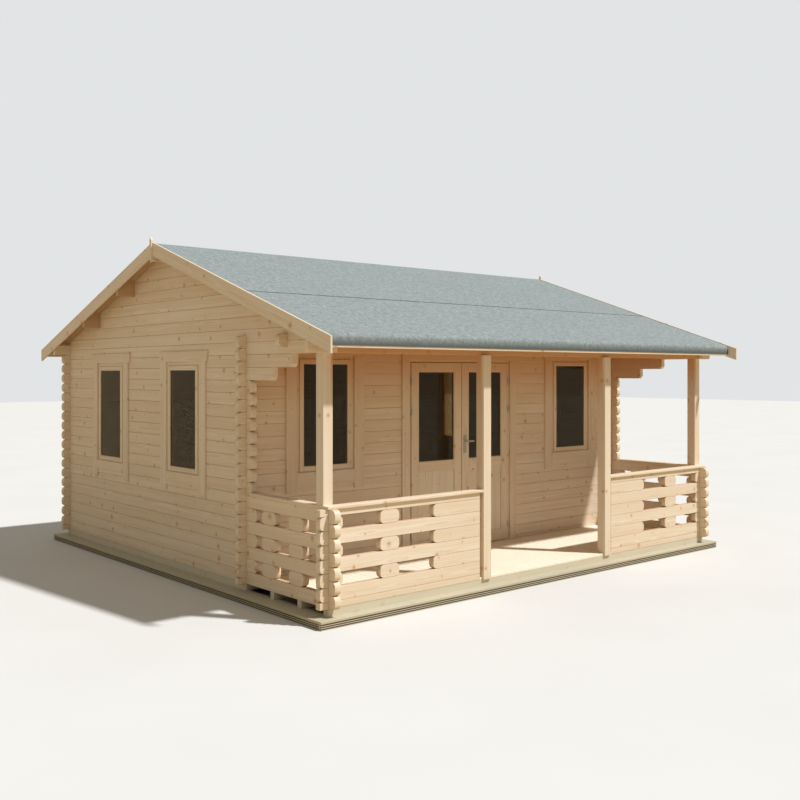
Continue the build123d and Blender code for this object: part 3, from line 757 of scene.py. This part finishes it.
# Repeats
def new_tree(name, **inputs):
    """A Geometry Nodes tree with named inputs, its wiring and what is handed in."""
    inputs = {"Geometry": "Geometry", **inputs, "Material": "Material"}
    tree, w, given = new_group(name, "GeometryNodeTree", inputs, {"Geometry": "Geometry"})
    tree.is_modifier = True
    return tree, w, given


def handed_out(w, shown, given):
    """Ends a tree: sets the material and hands out what it shows."""
    dressed = w.node("GeometryNodeSetMaterial", {"Geometry": shown, "Material": given["Material"]})
    w.node("NodeGroupOutput", {0: dressed.outputs[0]})


def run_tree():
    """Geometry Nodes tree: one board laid again and again along a line."""
    tree, w, given = new_tree("run_of_boards", Count="Int", Step="Vector", Seed="Int")

    def chance(kind, low, high, salt):
        inputs = {"Min": low, "Max": high, "Seed": w.plus(given["Seed"], float(salt))}
        return w.node("FunctionNodeRandomValue", inputs, data_type=kind).outputs["Value"]

    def kept(shown, domain, name, kind, value):
        inputs = {"Geometry": shown, "Name": name, "Value": value}
        return w.node("GeometryNodeStoreNamedAttribute", inputs, data_type=kind, domain=domain).outputs[0]

    line = w.node("GeometryNodeMeshLine", {"Count": given["Count"], "Offset": given["Step"]}, mode="OFFSET")
    laid = w.node("GeometryNodeInstanceOnPoints", {"Points": line.outputs[0], "Instance": given["Geometry"]})
    shift = chance("FLOAT_VECTOR", (-40.0, -0.05, 0.01), (40.0, 0.05, 0.09), 2)
    shown = kept(laid.outputs[0], "INSTANCE", "board_tone", "FLOAT", chance("FLOAT", 0.0, 1.0, 1))
    shown = kept(shown, "INSTANCE", "board_shift", "FLOAT_VECTOR", shift)
    shown = w.node("GeometryNodeRealizeInstances", {0: shown}).outputs[0]
    grain = w.vector("ADD", w.named("grain_at", "FLOAT_VECTOR"), w.named("board_shift", "FLOAT_VECTOR"))
    shown = kept(shown, "POINT", "grain_at", "FLOAT_VECTOR", grain)
    shown = kept(shown, "POINT", "tone", "FLOAT", w.named("board_tone", "FLOAT"))
    handed_out(w, shown, given)
    return tree


def screw_tree():
    """Geometry Nodes tree: a domed screw head with a recess at each point."""
    tree, w, given = new_tree("screw_heads", Radius="Float", Height="Float")
    disc = {"Vertices": 12, "Radius": given["Radius"]}
    shape, top = w.node("GeometryNodeMeshCircle", disc, fill_type="NGON").outputs[0], True
    # Up to the rim, over the dome, in to the recess and down to its floor
    for lift, scale in ((0.5, 1.0), (0.5, 0.72), (0.0, 0.55), (-0.7, 0.9)):
        inputs = {"Mesh": shape, "Selection": top, "Offset Scale": w.times(given["Height"], lift)}
        drawn = w.node("GeometryNodeExtrudeMesh", inputs, mode="FACES").outputs
        top = drawn["Top"]
        inputs = {"Geometry": drawn["Mesh"], "Selection": top, "Scale": scale}
        shape = w.node("GeometryNodeScaleElements", inputs, domain="FACE").outputs[0]
    facing = {"Vector": w.named("facing", "FLOAT_VECTOR")}
    turned = w.node("FunctionNodeAlignRotationToVector", facing, axis="Z").outputs[0]
    inputs = {"Points": given["Geometry"], "Instance": shape, "Rotation": turned}
    laid = w.node("GeometryNodeInstanceOnPoints", inputs).outputs[0]
    handed_out(w, w.node("GeometryNodeRealizeInstances", {0: laid}).outputs[0], given)
    return tree


def grown(piece, tree, slot, **values):
    """Runs a Geometry Nodes tree on a piece and keeps the mesh that it gives."""
    step = piece.modifiers.new("run", "NODES")
    step.node_group = tree
    for socket in tree.interface.items_tree:
        if socket.item_type == "SOCKET" and socket.in_out == "INPUT" and socket.name in values:
            step[socket.identifier] = values[socket.name]
    bpy.context.view_layer.update()
    graph = bpy.context.evaluated_depsgraph_get()
    made = bpy.data.meshes.new_from_object(piece.evaluated_get(graph), depsgraph=graph)
    piece.modifiers.clear()
    piece.data = made
    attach(piece, "cabin")
    return piece


board_run = run_tree()


def boards_in_a_row(work, count, width, seed, material):
    values = {"Count": count, "Step": (width, 0, 0), "Seed": seed, "Material": material}
    return grown(work.piece(material, None), board_run, "spruce", **values)


# Walls
def side_logs():
    """Gable logs, running on as side railings and as the brackets under the eaves."""
    work = Joinery("side_logs", 11)
    holes = notches(wall_y, courses + 1) + notches(half_d - log_t, courses + 1)
    holes += notches(front_y, rail_logs + 1) + window_holes(gable_windows, gable_glass_z)
    for y in purlins:
        holes.append((y - purlin_w / 2, y + purlin_w / 2, under_roof(y) - purlin_h, boards_under))
    holes.append((-ridge_w / 2, ridge_w / 2, boards_under - purlin_h, boards_under))
    lock_z = beam_lo.z + course / 2
    lock = (lock_y - log_t / 2, lock_y + log_t / 2, lock_z, beam_lo.z + 1.5 * course)
    beam = (beam_lo.y, beam_lo.y + log_t, beam_lo.z, beam_lo.z + beam_h)
    for side in (-1, 1):
        place = on_x(side * half_w)
        thick = -side * log_t
        k = 0
        while wall_z + k * course < boards_under - lowest_log:
            low = wall_z + k * course
            roof_at = (boards_under - low) / slope
            back, end = (half_d + log_end, end_round) if k < courses else (half_d, 0)
            back = min(back, roof_at)
            start, first, nose, opened = split_y, end_round, 0, holes
            if k < rail_logs:
                start = front_y - log_end
            elif k >= courses - 1:
                start = nose_y
                opened = holes + [lock, beam]
            elif k >= courses - 3:
                start = wall_y - (bracket_short if k == courses - 3 else bracket_long)
                nose = bracket_cut
            if k >= courses - 3:
                first = 0
                start = max(start, -roof_at)
            if k < rail_logs and k % 2:
                log(work, place, start, side_gaps[0], low, thick, both_round, opened)
                for block in side_blocks:
                    log(work, place, block, block + side_block, low, thick, both_round)
                log(work, place, side_gaps[1], back, low, thick, (end_round, end), opened)
            else:
                roof = k >= courses - 1
                log(work, place, start, back, low, thick, (first, end), opened, roof=roof, nose=nose)
            k += 1
        u = pair(side, inner_x - lock_reach, half_w + lock_reach)
        log(work, on_y(lock_y - log_t / 2), *u, lock_z, log_t, both_round)
    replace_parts(work.piece(log_wood), "gable_walls", "side_railings", "veranda_gable_logs")


def long_wall(name, seed, y, thick, holes=(), plate=None):
    """Logs of a front or back wall: half a log, then whole ones up to the roof."""
    work = Joinery(name, seed)
    place = on_y(y)
    top = under_roof(y) - 2 * play
    reach = half_w + log_end
    cut = [*corner_notches(-1, courses + 1), *corner_notches(1, courses + 1), *holes]
    log(work, place, -reach, reach, wall_z, thick, (half_round, half_round), cut, wall_z + course / 2)
    k = 0
    while wall_z + (k + 0.5) * course < top - lowest_log:
        low = wall_z + (k + 0.5) * course
        high = min(low + course, top)
        if k >= courses:
            log(work, place, -inner_x, inner_x, low, thick, (0, 0), holes, high)
        elif plate and k == courses - 1:
            log(work, place, -plate, plate, low, thick, (0, 0), cut, high)
        else:
            log(work, place, -reach, reach, low, thick, both_round, cut, high)
        k += 1
    return work.piece(log_wood)


def long_walls():
    """Front wall, with the way through for the double door and two windows, and back wall."""
    holes = window_holes(front_windows, front_glass_z) + [(-case_x, case_x, wall_z, case_top)]
    piece = long_wall("front_wall_logs", 23, wall_y, log_t, holes)
    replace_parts(piece, "front_wall_left", "front_wall_right", "front_wall_over_door")
    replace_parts(long_wall("back_wall_logs", 37, half_d, -log_t, plate=plate_x), "back_wall")


def front_railing_logs():
    """Front railings: whole logs held apart by rounded blocks."""
    work = Joinery("front_railing_logs", 41)
    reach = half_w + log_end
    block = front_gaps[0] + (front_gaps[1] - front_gaps[0] - front_block) / 2
    for side in (-1, 1):
        def length(u0, u1, low, rounds, high=None):
            turned = rounds if side > 0 else rounds[::-1]
            crossings = corner_notches(side, rail_logs)
            log(work, on_y(front_y), *pair(side, u0, u1), low, log_t, turned, crossings, high)

        length(entry_x, reach, wall_z, (0, half_round), wall_z + course / 2)
        for k in range(rail_logs - 1):
            low = wall_z + (k + 0.5) * course
            if k % 2 == 0:
                length(entry_x, reach, low, (0, end_round))
            else:
                length(entry_x, front_gaps[0], low, (0, end_round))
                length(block, block + front_block, low, both_round)
                length(front_gaps[1], reach, low, both_round)
        length(entry_x, reach, rail_top - course / 2, (0, half_round), rail_top)
    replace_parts(work.piece(log_wood), "front_railings")


# Windows and doors
def window_boards():
    """Casings and sashes of the windows, and the boards round them."""
    frames = Joinery("window_joinery", 53)
    trims = Joinery("window_boards", 59)
    spots = [(on_x(side * half_w), -side, y, gable_glass_z) for y in gable_windows for side in (-1, 1)]
    spots += [(on_y(wall_y), 1, x, front_glass_z) for x in front_windows]
    # Casing, sash and bead: outer and inner half width, and how far each is past the glass
    layers = (
        (case_half, sash_half, casing, sash, case_set, ease),
        (sash_half, glass_half, sash, 0, sash_set, ease),
        (glass_half, glass_half - bead, 0, -bead, bead_set, bead_edge),
    )
    for place, inward, u, low in spots:
        def laid(outline, lie, heading, work, edge=ease):
            out, thick = lie
            prism(work, outline, lambda a, b, d: place(a, b, inward * (d - out)), thick, heading, edge, edge)

        def leaf(z0, z1, across, lie, upright, work=frames, edge=ease):
            outline = rectangle((u + across[0], u + across[1]), (z0, z1))
            laid(outline, lie, (0, 1) if upright else (1, 0), work, edge)

        high = low + glass_h
        sill = low - casing + sill_lap - sill_board
        top = high + casing - head_lap
        for side in (-1, 1):
            for outer, inner, past, short, lie, edge in layers:
                leaf(low - past, high + past, pair(side, outer, inner), lie, True, frames, edge)
            leaf(sill - side_below, top, pair(side, *side_board), board_set, True, trims)
        for outer, inner, past, short, lie, edge in layers:
            for z0, z1 in ((low - past, low - short), (high + short, high + past)):
                leaf(z0, z1, (-inner, inner), lie, False, frames, edge)
        leaf(sill, low - casing + sill_lap, (-side_board[0], side_board[0]), board_set, False, trims)
        narrow, wide = head_half
        over = top + head_board
        head = [(u - narrow, top), (u + narrow, top), (u + wide, over), (u - wide, over)]
        laid(head, board_set, (1, 0), trims)
    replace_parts(frames.piece(board_wood), "window_frames")
    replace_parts(trims.piece(board_wood), "window_trims")


def door_leaf(side, name, body):
    """One leaf: stiles and rails, glazing beads, and upright boards below."""
    work = Joinery(name, 71 + side)
    y = (door_lo.y, door_hi.y)
    x0, x1 = pane_lo.x, pane_hi.x
    z0, z1 = pane_lo.z, pane_hi.z
    low, high = door_lo.z, door_hi.z
    panel = (low + foot_rail, z0 - lock_rail)

    def piece(x, yy, z, way, edge=ease):
        board(work, pair(side, *x), yy, z, way, edge)

    for x in ((door_lo.x, x0), (x1, door_hi.x)):
        piece(x, y, (low, high), "z")
    for z in ((low, panel[0]), (panel[1], z0), (z1, high)):
        piece((x0, x1), y, z, "x")
    shallow, deep = leaf_bead
    for face in ((y[0] + shallow, y[0] + deep), (y[1] - deep, y[1] - shallow)):
        for x in ((x0, x0 + bead), (x1 - bead, x1)):
            piece(x, face, (z0, z1), "z", bead_edge)
        for z in ((z0, z0 + bead), (z1 - bead, z1)):
            piece((x0 + bead, x1 - bead), face, z, "x", bead_edge)
    width = (x1 - x0) / leaf_boards
    middle = (y[0] + y[1]) / 2
    for n in range(leaf_boards):
        x = x0 + n * width
        thick = (middle - leaf_board_half, middle + leaf_board_half)
        piece((x, x + width), thick, panel, "z", plank_ease)
    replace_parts(work.piece(board_wood, body), name.replace("_timber", ""))


def door_case():
    """Frame of the double door, its threshold and stops, and the boards round it."""
    work = Joinery("door_frame_timber", 83)
    half = case_x - jamb
    top = case_top - jamb
    sill = wall_z + sill_h
    y = (case_lo.y, case_hi.y)
    through = (y[0], y[0] + log_t)
    stop = tuple(door_hi.y + behind for behind in stop_set)
    for side in (-1, 1):
        x = pair(side, half, case_x)
        board(work, x, through, (wall_z, case_top), "z")
        board(work, x, (through[1], y[1]), (veranda_hi.z, case_top), "z")
        board(work, pair(side, half, half - stop_deep), stop, (sill, top - stop_deep), "z")
    board(work, (-half, half), y, (top, case_top), "x")
    board(work, (-half, half), stop, (top - stop_deep, top), "x")
    board(work, (-half, half), through, (wall_z, sill), "x", 2 * ease)
    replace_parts(work.piece(board_wood), "door_frame")
    trim = Joinery("door_boards", 89)
    inside = case_x - jamb / 2
    under = trim_hi.z - trim_board
    y = (trim_lo.y, trim_hi.y)
    for side in (-1, 1):
        board(trim, pair(side, inside, trim_hi.x), y, (trim_lo.z, under), "z")
    board(trim, (-trim_hi.x, trim_hi.x), y, (under, trim_hi.z), "x")
    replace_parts(trim.piece(board_wood), "door_trim")


# Roof
def roof_boards():
    """Boards down both slopes, tongued together, a V along each joint below."""
    width = 2 * roof_x / roof_count
    vee = 0.005
    side_t = board_t - 0.006
    off = 0.0004  # off the ridge and off the felt
    profile = [(0, 0), (width, 0), (width, side_t), (width - vee, board_t), (vee, board_t), (0, side_t)]
    n = len(profile)
    for side, name in ((-1, "front"), (1, "back")):
        work = Joinery(f"roof_boards_{name}_row", 97 + side)
        work.start_timber()
        for y in (side * off, side * (board_y - row_short)):
            for a, b in profile:
                z = roof_hi.z - off - slope * abs(y) - b / math.cos(pitch)
                work.add(Vector((a - roof_x, y, z)), abs(y) / math.cos(pitch), a, b)
        work.face(list(range(n)), None, side > 0)
        work.face(list(range(n, 2 * n))[::-1], None, side > 0)
        for k in range(n):
            shade = {2: [1.0, 1.0, rim, rim], 4: [rim, rim, 1.0, 1.0]}.get(k)
            after = (k + 1) % n
            work.face([k, n + k, n + after, after], shade, side > 0)
        piece = boards_in_a_row(work, roof_count, width, 5 + side, roof_wood_painted_shade)
        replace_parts(piece, f"roof_boards_{name}")


def felt_sheets():
    """Felt: a sheet over the ridge and one along each eave, lapped and turned down."""
    work = Joinery("felt_sheets", 101)
    work.start_timber()
    sheet = felt_thick * 0.55  # where the sheets lap
    columns = 48
    bend_steps = 8
    wave = 0.0006

    def strip(points):
        """A closed band with the given outline in Y and Z, faintly waved along X."""
        first = len(work.points)
        n = len(points)
        for column in range(columns + 1):
            x = 2 * roof_x * column / columns - roof_x
            for y, z in points:
                sway = 0.0 if column in (0, columns) else wave * math.sin(x * 5.1 + y * 2.3)
                work.add(Vector((x, y, z - abs(sway))), x, y, 0.0)
        work.face([first + k for k in range(n)])
        work.face([first + columns * n + k for k in range(n)][::-1])
        for column in range(columns):
            a = first + column * n
            for k in range(n):
                after = (k + 1) % n
                work.face([a + k, a + n + k, a + n + after, a + after])

    def height(y, above):
        return roof_hi.z + above / math.cos(pitch) - slope * abs(y)

    # The bend at an eave, about its heart
    start = felt_lap - felt_under
    low = felt_turn - felt_drop
    reach = felt_bend * math.tan(math.radians(45) - pitch / 2)
    heart = (felt_y - felt_bend, height(felt_y, felt_thick) - reach)
    turn = [pitch + (math.radians(90) - pitch) * step / bend_steps for step in range(bend_steps + 1)]
    inner = felt_bend - felt_thick
    section = [
        (start, height(start, sheet)),
        *((heart[0] + felt_bend * math.sin(a), heart[1] + felt_bend * math.cos(a)) for a in turn),
        (felt_y, low),
        (felt_y - felt_thick, low),
        (felt_y - felt_thick, heart[1]),
        (heart[0] + inner * math.sin(pitch), heart[1] + inner * math.cos(pitch)),
        (start, height(start, touch)),
    ]
    strip([(-y, z) for y, z in section])
    strip(section[::-1])
    over = [(y, height(y, felt_thick)) for y in (felt_lap, 0, -felt_lap)]
    strip(over + [(y, height(y, sheet)) for y in (-felt_lap, 0, felt_lap)])
    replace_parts(work.piece(felt, slot="felt"), "roofing_felt")


def roof_edges():
    """Barge boards at the gables and boards closing the eaves."""
    work = Joinery("barge_board_timber", 103)
    rise = Vector((math.cos(pitch), math.sin(pitch)))
    top = barge_hi.z
    foot = top - slope * barge_hi.y
    for side in (-1, 1):
        for half in (-1, 1):
            end, middle = half * barge_hi.y, half * touch
            outline = [(end, foot - barge_h), (end, foot), (middle, top), (middle, top - barge_h)]
            heading = (half * rise.x, -rise.y)
            prism(work, outline, on_x(side * barge_hi.x), -side * barge_t, heading)
    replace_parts(work.piece(board_wood), "barge_boards")
    work = Joinery("eave_board_timber", 107)
    z = (felt_turn - felt_drop - eave_show, under_roof(board_y) - play)
    for side in (-1, 1):
        board(work, (-roof_x, roof_x), pair(side, board_y, board_y - eave_t), z, "x")
    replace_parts(work.piece(board_wood), "eave_boards")


def front_beam_timber():
    """Beam over the entrance, its ends rounded below, and the log on top of it."""
    work = Joinery("front_beam_timber", 105)
    low, high = beam_lo.z, beam_lo.z + beam_h
    heart = plate_x - beam_round
    foot = [(heart + beam_round * math.sin(a), low + beam_round * (1 - math.cos(a))) for a in quarter_turn]
    outline = foot + [(plate_x, high), (-plate_x, high)] + [(-x, z) for x, z in foot[::-1]]
    prism(work, outline, on_y(beam_lo.y), log_t, middle=(0, low))
    work.start_timber()  # one draw more, so that the log keeps its tone
    start = len(work.grain)
    section = up_to_roof((beam_lo.y, beam_lo.y + log_t), high)
    prism(work, section, on_x(-inner_x), 2 * inner_x, (0, 1))
    work.lengthwise(start)
    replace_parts(work.piece(board_wood), "front_beam")


def purlin_timbers():
    work = Joinery("purlin_timbers", 109)
    for y in purlins:
        # The front ones end just inside the gable faces
        reach = roof_x if y > 0 else half_w - 0.0015
        section = up_to_roof((y - purlin_w / 2, y + purlin_w / 2), under_roof(y) - purlin_h)
        prism(work, section, on_x(-reach), 2 * reach, (0, 1))
    work.lengthwise()
    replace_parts(work.piece(roof_wood_painted_shade), "purlins")


# Floors and base
def floor_boards():
    """Boards of the veranda and cabin floors, cut round the posts at the front."""
    work = Joinery("veranda_floor_boards", 113)
    lo, hi = veranda_lo, veranda_hi
    count = int((hi.x - lo.x) / floor_wide)
    width = (hi.x - lo.x) / count
    post_out = entry_x - post_gap
    post_in = post_out - post_w
    behind_rail = front_y + log_t
    behind_post = front_y - post_ahead + post_w + post_play

    def start(x):
        """Front end of the floor at x."""
        if x > entry_x:
            return behind_rail
        return behind_post if post_in < x <= post_out else lo.y

    for n in range(count):
        x0 = lo.x + n * width
        x1 = x0 + width
        near, far = sorted((abs(x0), abs(x1)))
        x0, x1 = x0 + floor_gap, x1 - floor_gap
        if near >= entry_x - hair:
            outline = rectangle((x0, x1), (behind_rail, hi.y))
        elif far <= post_in + hair:
            outline = rectangle((x0, x1), (lo.y, hi.y))
        else:
            side = 1 if x0 + x1 > 0 else -1
            a, b = pair(side, x0, x1)
            cuts = sorted({a, b, *(c for c in (post_in, post_out, entry_x) if a < c < b)})
            front = [(u, start((c + d) / 2)) for c, d in zip(cuts, cuts[1:]) for u in (c, d)]
            outline = [(side * u, v) for u, v in tidied(front + [(b, hi.y), (a, hi.y)])]
        prism(work, outline, on_z(lo.z), hi.z - lo.z, (0, 1))
    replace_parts(work.piece(floor_wood), "veranda_floor")
    row = Joinery("cabin_floor_boards", 127)
    lo, hi = cabin_lo, cabin_hi
    width = (hi.x - lo.x) / cabin_count
    board(row, (lo.x, lo.x + width - cabin_gap), (lo.y, hi.y), (lo.z, hi.z), "y", cabin_gap)
    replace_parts(boards_in_a_row(row, cabin_count, width, 9, floor_wood), "cabin_floor")


def base_planks():
    """Planks laid flat round the cabin, on edge boards with three deep grooves."""
    work = Joinery("base_planks", 131)
    out_x, out_y = base_hi.x, base_hi.y
    flat = (base_hi.z - plank_t, base_hi.z)
    between = out_y - plank_w - plank_gap
    for side in (-1, 1):
        board(work, (-out_x, out_x), pair(side, out_y, out_y - plank_w), flat, "x", plank_ease)
        board(work, pair(side, out_x, out_x - plank_w), (-between, between), flat, "y", plank_ease)
    floors = [flat[0] - groove_h - n * (groove_h + ridge_h) for n in (2, 1, 0)]
    shade = [0.0] + [0.0, 1.0, 1.0, 1.0] * len(floors) + [0.0]

    def edge_board(out, way, place, run):
        """An edge board drawn by its section: grooved outside, flat inside."""
        bed, back = out - way * groove_deep, out - way * edge_t
        section = [(back, 0.0)]
        for z in floors:
            foot = z - ridge_h if z > floors[0] else 0.0
            section += [(out, foot), (out, z), (bed, z + groove_slant), (bed, z + groove_h)]
        section.append((back, flat[0]))
        prism(work, section, place, run, (0, 1), 0.0003, 0.0005, shade=shade)

    start = len(work.grain)
    for side in (-1, 1):
        edge_board(side * out_y, side, on_x(-out_x), 2 * out_x)
        edge_board(side * out_x, side, on_y(edge_t - out_y), 2 * (out_y - edge_t))
    work.lengthwise(start)
    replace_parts(work.piece(base_wood, slot="treated_timber"), "base_boards")


def railing_caps():
    work = Joinery("railing_cap_boards", 137)
    z = (cap_lo.z, cap_hi.z)
    turn = cap_lo.y + cap_w
    for side in (-1, 1):
        board(work, pair(side, cap_hi.x, cap_in), (cap_lo.y, turn), z, "x", plank_ease)
        board(work, pair(side, cap_hi.x, cap_hi.x - cap_w), (turn, split_y), z, "y", plank_ease)
    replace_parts(work.piece(board_wood), "railing_caps")


# Screws
screw_gap = 0.4  # from screw to screw along a board


def evenly(start, end, gap=screw_gap):
    """Places about a gap apart between start and end."""
    count = max(1, round((end - start) / gap))
    return [start + (end - start) * (n + 0.5) / count for n in range(count)]


def screw_spots():
    """Where the boards are screwed down, each spot with the way its head faces."""
    up, ahead = (0, 0, 1), (0, -1, 0)
    for side in (-1, 1):
        out = (side, 0, 0)
        for x in evenly(0.96, cap_hi.x - 0.06):
            yield (side * x, cap_lo.y + cap_w / 2, cap_hi.z), up
        for y in evenly(cap_lo.y + 0.1, split_y):
            yield (side * (cap_hi.x - cap_w / 2), y, cap_hi.z), up
        for half in (-1, 1):
            for y in evenly(0.12, barge_hi.y - 0.03, 0.45):
                for drop in (0.035, 0.1):
                    yield (side * barge_hi.x, half * y, barge_hi.z - slope * y - drop), out
        for y in gable_windows:
            for edge, z in beside_glass(gable_glass_z):
                yield (side * (half_w + board_set[0]), y + edge, z), out
        for z in evenly(trim_lo.z + 0.03, trim_hi.z - trim_board):
            yield (side * (trim_hi.x - trim_board / 2), trim_lo.y, z), ahead
        for x in evenly(0.06 - base_hi.x, base_hi.x - 0.06, 0.6):
            for inset in (0.04, 0.15):
                yield (x, side * (base_hi.y - inset), base_hi.z), up
        for y in evenly(0.2 - base_hi.y, base_hi.y - 0.2, 0.6):
            yield (side * (base_hi.x - 0.06), y, base_hi.z), up
    for x in front_windows:
        for edge, z in beside_glass(front_glass_z):
            yield (x + edge, wall_y - board_set[0], z), ahead
    for x in evenly(veranda_lo.x, veranda_hi.x, floor_wide):
        for share in (0.33, 0.66):
            yield (x, front_y + share * (wall_y - front_y), veranda_hi.z), up


def beside_glass(glass_z):
    """Spots on the two side boards of a window, from its middle."""
    heights = evenly(glass_z - 0.2, glass_z + glass_h + 0.08)
    return [(edge, z) for z in heights for edge in (-0.4, 0.4)]


def screws():
    spots, facings = zip(*screw_spots())
    mesh = bpy.data.meshes.new("screw_heads")
    mesh.from_pydata(spots, [], [])
    store(mesh, "facing", "FLOAT_VECTOR", "POINT", [c for facing in facings for c in facing])
    piece = placed("screw_heads", mesh)
    grown(piece, screw_tree(), "steel", Radius=0.0045, Height=0.0012, Material=steel)


def cad_finishes():
    """Materials of the frame's own nodes that stay in view."""
    for material, *nodes in (
        (post_wood, "corner_posts", "entrance_posts", "finials"),
        (beam_wood, "ridge_beam"),
        (bearer_wood, "wall_bearers", "floor_joists"),
        (glass, "window_glass", "left_door_glass", "right_door_glass"),
        (steel, "hinge_pins", "left_hinge_barrels", "right_hinge_barrels", "handle_plates", "door_lever"),
    ):
        for node in nodes:
            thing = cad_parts[node]
            thing.data.materials.clear()
            thing.data.materials.append(material)


side_logs()
long_walls()
front_railing_logs()
window_boards()
door_leaf(-1, "left_door_timber", "left_leaf")
door_leaf(1, "right_door_timber", "right_leaf")
door_case()
roof_boards()
felt_sheets()
roof_edges()
front_beam_timber()
purlin_timbers()
floor_boards()
base_planks()
railing_caps()
screws()
cad_finishes()


# Studio
def pale_floor(w, place):
    """Paler to the camera than to the cabin, which it lights from below."""
    ray = w.node("ShaderNodeLightPath").outputs
    seen = w.maths("MAXIMUM", ray["Is Camera Ray"], ray["Is Transmission Ray"])
    pale = w.mix(w.noise(place, 0.7, 3.0), tint(214, 214, 212), tint(222, 222, 220))
    lit = w.mix(ray["Is Glossy Ray"], tint(198, 179, 146), tint(112, 100, 80))
    return {"Base Color": w.mix(seen, lit, pale), "Roughness": 0.9}


def studio():
    """Pale floor and backdrop, one high lamp from the right front, soft fill."""
    mesh = bpy.data.meshes.new("studio_floor")
    reach = (-60, 60)
    mesh.from_pydata([(x, y, 0) for x, y in rectangle(reach, reach)], [], [(0, 1, 2, 3)])
    ground = placed("studio_floor", mesh)
    mesh.materials.append(finished("pale_floor", pale_floor))
    lamp = bpy.data.lights.new("sun_lamp", "SUN")
    lamp.energy = 3.7
    lamp.angle = math.radians(2.5)
    sun = placed("sun_lamp", lamp)
    sun.rotation_mode = "QUATERNION"
    sun.rotation_quaternion = Vector((-0.7, 1.0, -1.82)).to_track_quat("-Z", "Y")
    world = bpy.data.worlds.new("studio_air")
    world.use_nodes = True
    bpy.context.scene.world = world
    w = Wiring(world.node_tree)
    ray = w.node("ShaderNodeLightPath").outputs
    lit = w.mix(ray["Is Glossy Ray"], tint(158, 155, 148), tint(168, 152, 126))
    seen = w.mix(ray["Is Camera Ray"], lit, tint(226, 228, 230))
    w.fill(world.node_tree.nodes["Background"], {"Color": seen, "Strength": 1.0})


def camera():
    """The photo's own view."""
    data = bpy.data.cameras.new("photo_camera")
    data.lens = 43.6
    data.sensor_width = 36
    data.shift_y = -0.0333
    data.clip_end = 200
    shot = placed("photo_camera", data)
    shot.location = (-7.277, -8.912, 2.018)
    shot.rotation_euler = (math.radians(90), 0, math.radians(-40.556))
    bpy.context.scene.camera = shot


studio()
camera()
bpy.context.scene.view_settings.view_transform = "Standard"
